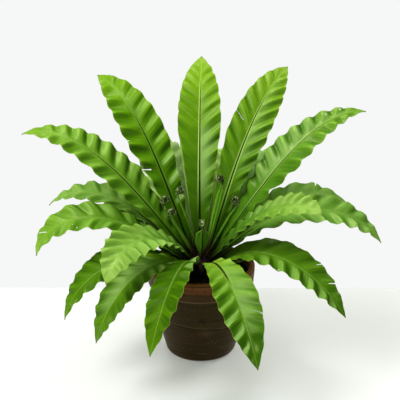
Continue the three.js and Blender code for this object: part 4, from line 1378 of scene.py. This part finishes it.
def add_soft_box(name, azimuth, elevation, size, power, mirrored):
    """A round lamp aimed at the plant, that either lights things or only shows in what is glossy."""
    around, up = math.radians(azimuth), math.radians(elevation)
    away = Vector((math.cos(up) * math.cos(around), math.cos(up) * math.sin(around), math.sin(up)))
    light = bpy.data.lights.new(name, "AREA")
    light.shape = "DISK"
    light.size = size
    light.energy = power
    lamp = placed(name, light)
    lamp.location = PLANT_MIDDLE + LAMP_DISTANCE * away
    lamp.visible_glossy = mirrored
    lamp.visible_diffuse = not mirrored
    lamp.rotation_euler = (-away).to_track_quat("-Z", "Y").to_euler()


def make_room():
    """Pale room: bright to look at, softer where it lights things, and dim in reflections."""
    world = bpy.data.worlds.new("room")
    bpy.context.scene.world = world
    world.use_nodes = True
    nodes, links = world.node_tree.nodes, world.node_tree.links
    nodes.clear()
    rays = nodes.new("ShaderNodeLightPath")

    def background(colour, strength):
        node = nodes.new("ShaderNodeBackground")
        node.inputs["Color"].default_value = colour
        node.inputs["Strength"].default_value = strength
        return node.outputs[0]

    def where(kind_of_ray, yes, no):
        """One shader for the rays of a kind and another for all others."""
        node = nodes.new("ShaderNodeMixShader")
        links.new(rays.outputs[kind_of_ray], node.inputs[0])
        links.new(no, node.inputs[1])
        links.new(yes, node.inputs[2])
        return node.outputs[0]

    lighting = background(ROOM_LIGHT_COLOUR, ROOM_LIGHT)
    lighting = where("Is Glossy Ray", background(ROOM_GLOSS_COLOUR, ROOM_GLOSS), lighting)
    output = nodes.new("ShaderNodeOutputWorld")
    links.new(where("Is Camera Ray", background(ROOM_SEEN, 1), lighting), output.inputs["Surface"])


def make_camera():
    lens = bpy.data.cameras.new("camera")
    lens.sensor_width = SENSOR_WIDTH
    lens.lens = FOCAL_LENGTH_PIXELS / PHOTO_WIDTH * SENSOR_WIDTH
    lens.dof.use_dof = False
    camera = placed("camera", lens)
    back = Vector((0, -math.cos(CAMERA_ELEVATION), math.sin(CAMERA_ELEVATION)))
    camera.location = CAMERA_AIM + CAMERA_DISTANCE * back
    camera.rotation_euler = (math.pi / 2 - CAMERA_ELEVATION, 0, 0)
    bpy.context.scene.camera = camera


def make_object():
    scales = scale_material("scale_brown", rgb(14, 7, 4), rgb(78, 36, 24), 0.45)
    for number, frond in enumerate(FRONDS):
        upper = leaf_material(frond.name + "_green", frond, LOOKS[frond.name])
        lower = leaf_material(frond.name + "_underside", frond, LOOKS[frond.name], under=True)
        make_frond(frond, number, [upper, lower, scales])
    young = young_material("young_green")
    coil = scale_material("coil_scale", rgb(12, 24, 2), rgb(166, 184, 116), 0.48)
    for number, fiddlehead in enumerate(FIDDLEHEADS):
        make_fiddlehead(fiddlehead, number, [young, coil])
    make_crown([soil_material("rootstock_dark", rgb(7, 4, 2), rgb(20, 12, 8)), scales])
    make_soil([soil_material("soil_dark", rgb(9, 7, 5), rgb(30, 24, 18)),
               soil_material("bark_bits", rgb(28, 20, 13), rgb(62, 46, 32))])
    make_pot(clay_material("fired_clay"))


make_camera()
make_table()
make_room()
for lamp in SOFT_BOXES:
    add_soft_box(*lamp, mirrored=False)
for lamp in SHEENS:
    add_soft_box(*lamp, mirrored=True)
make_object()
bpy.context.scene.view_settings.view_transform = "Standard"
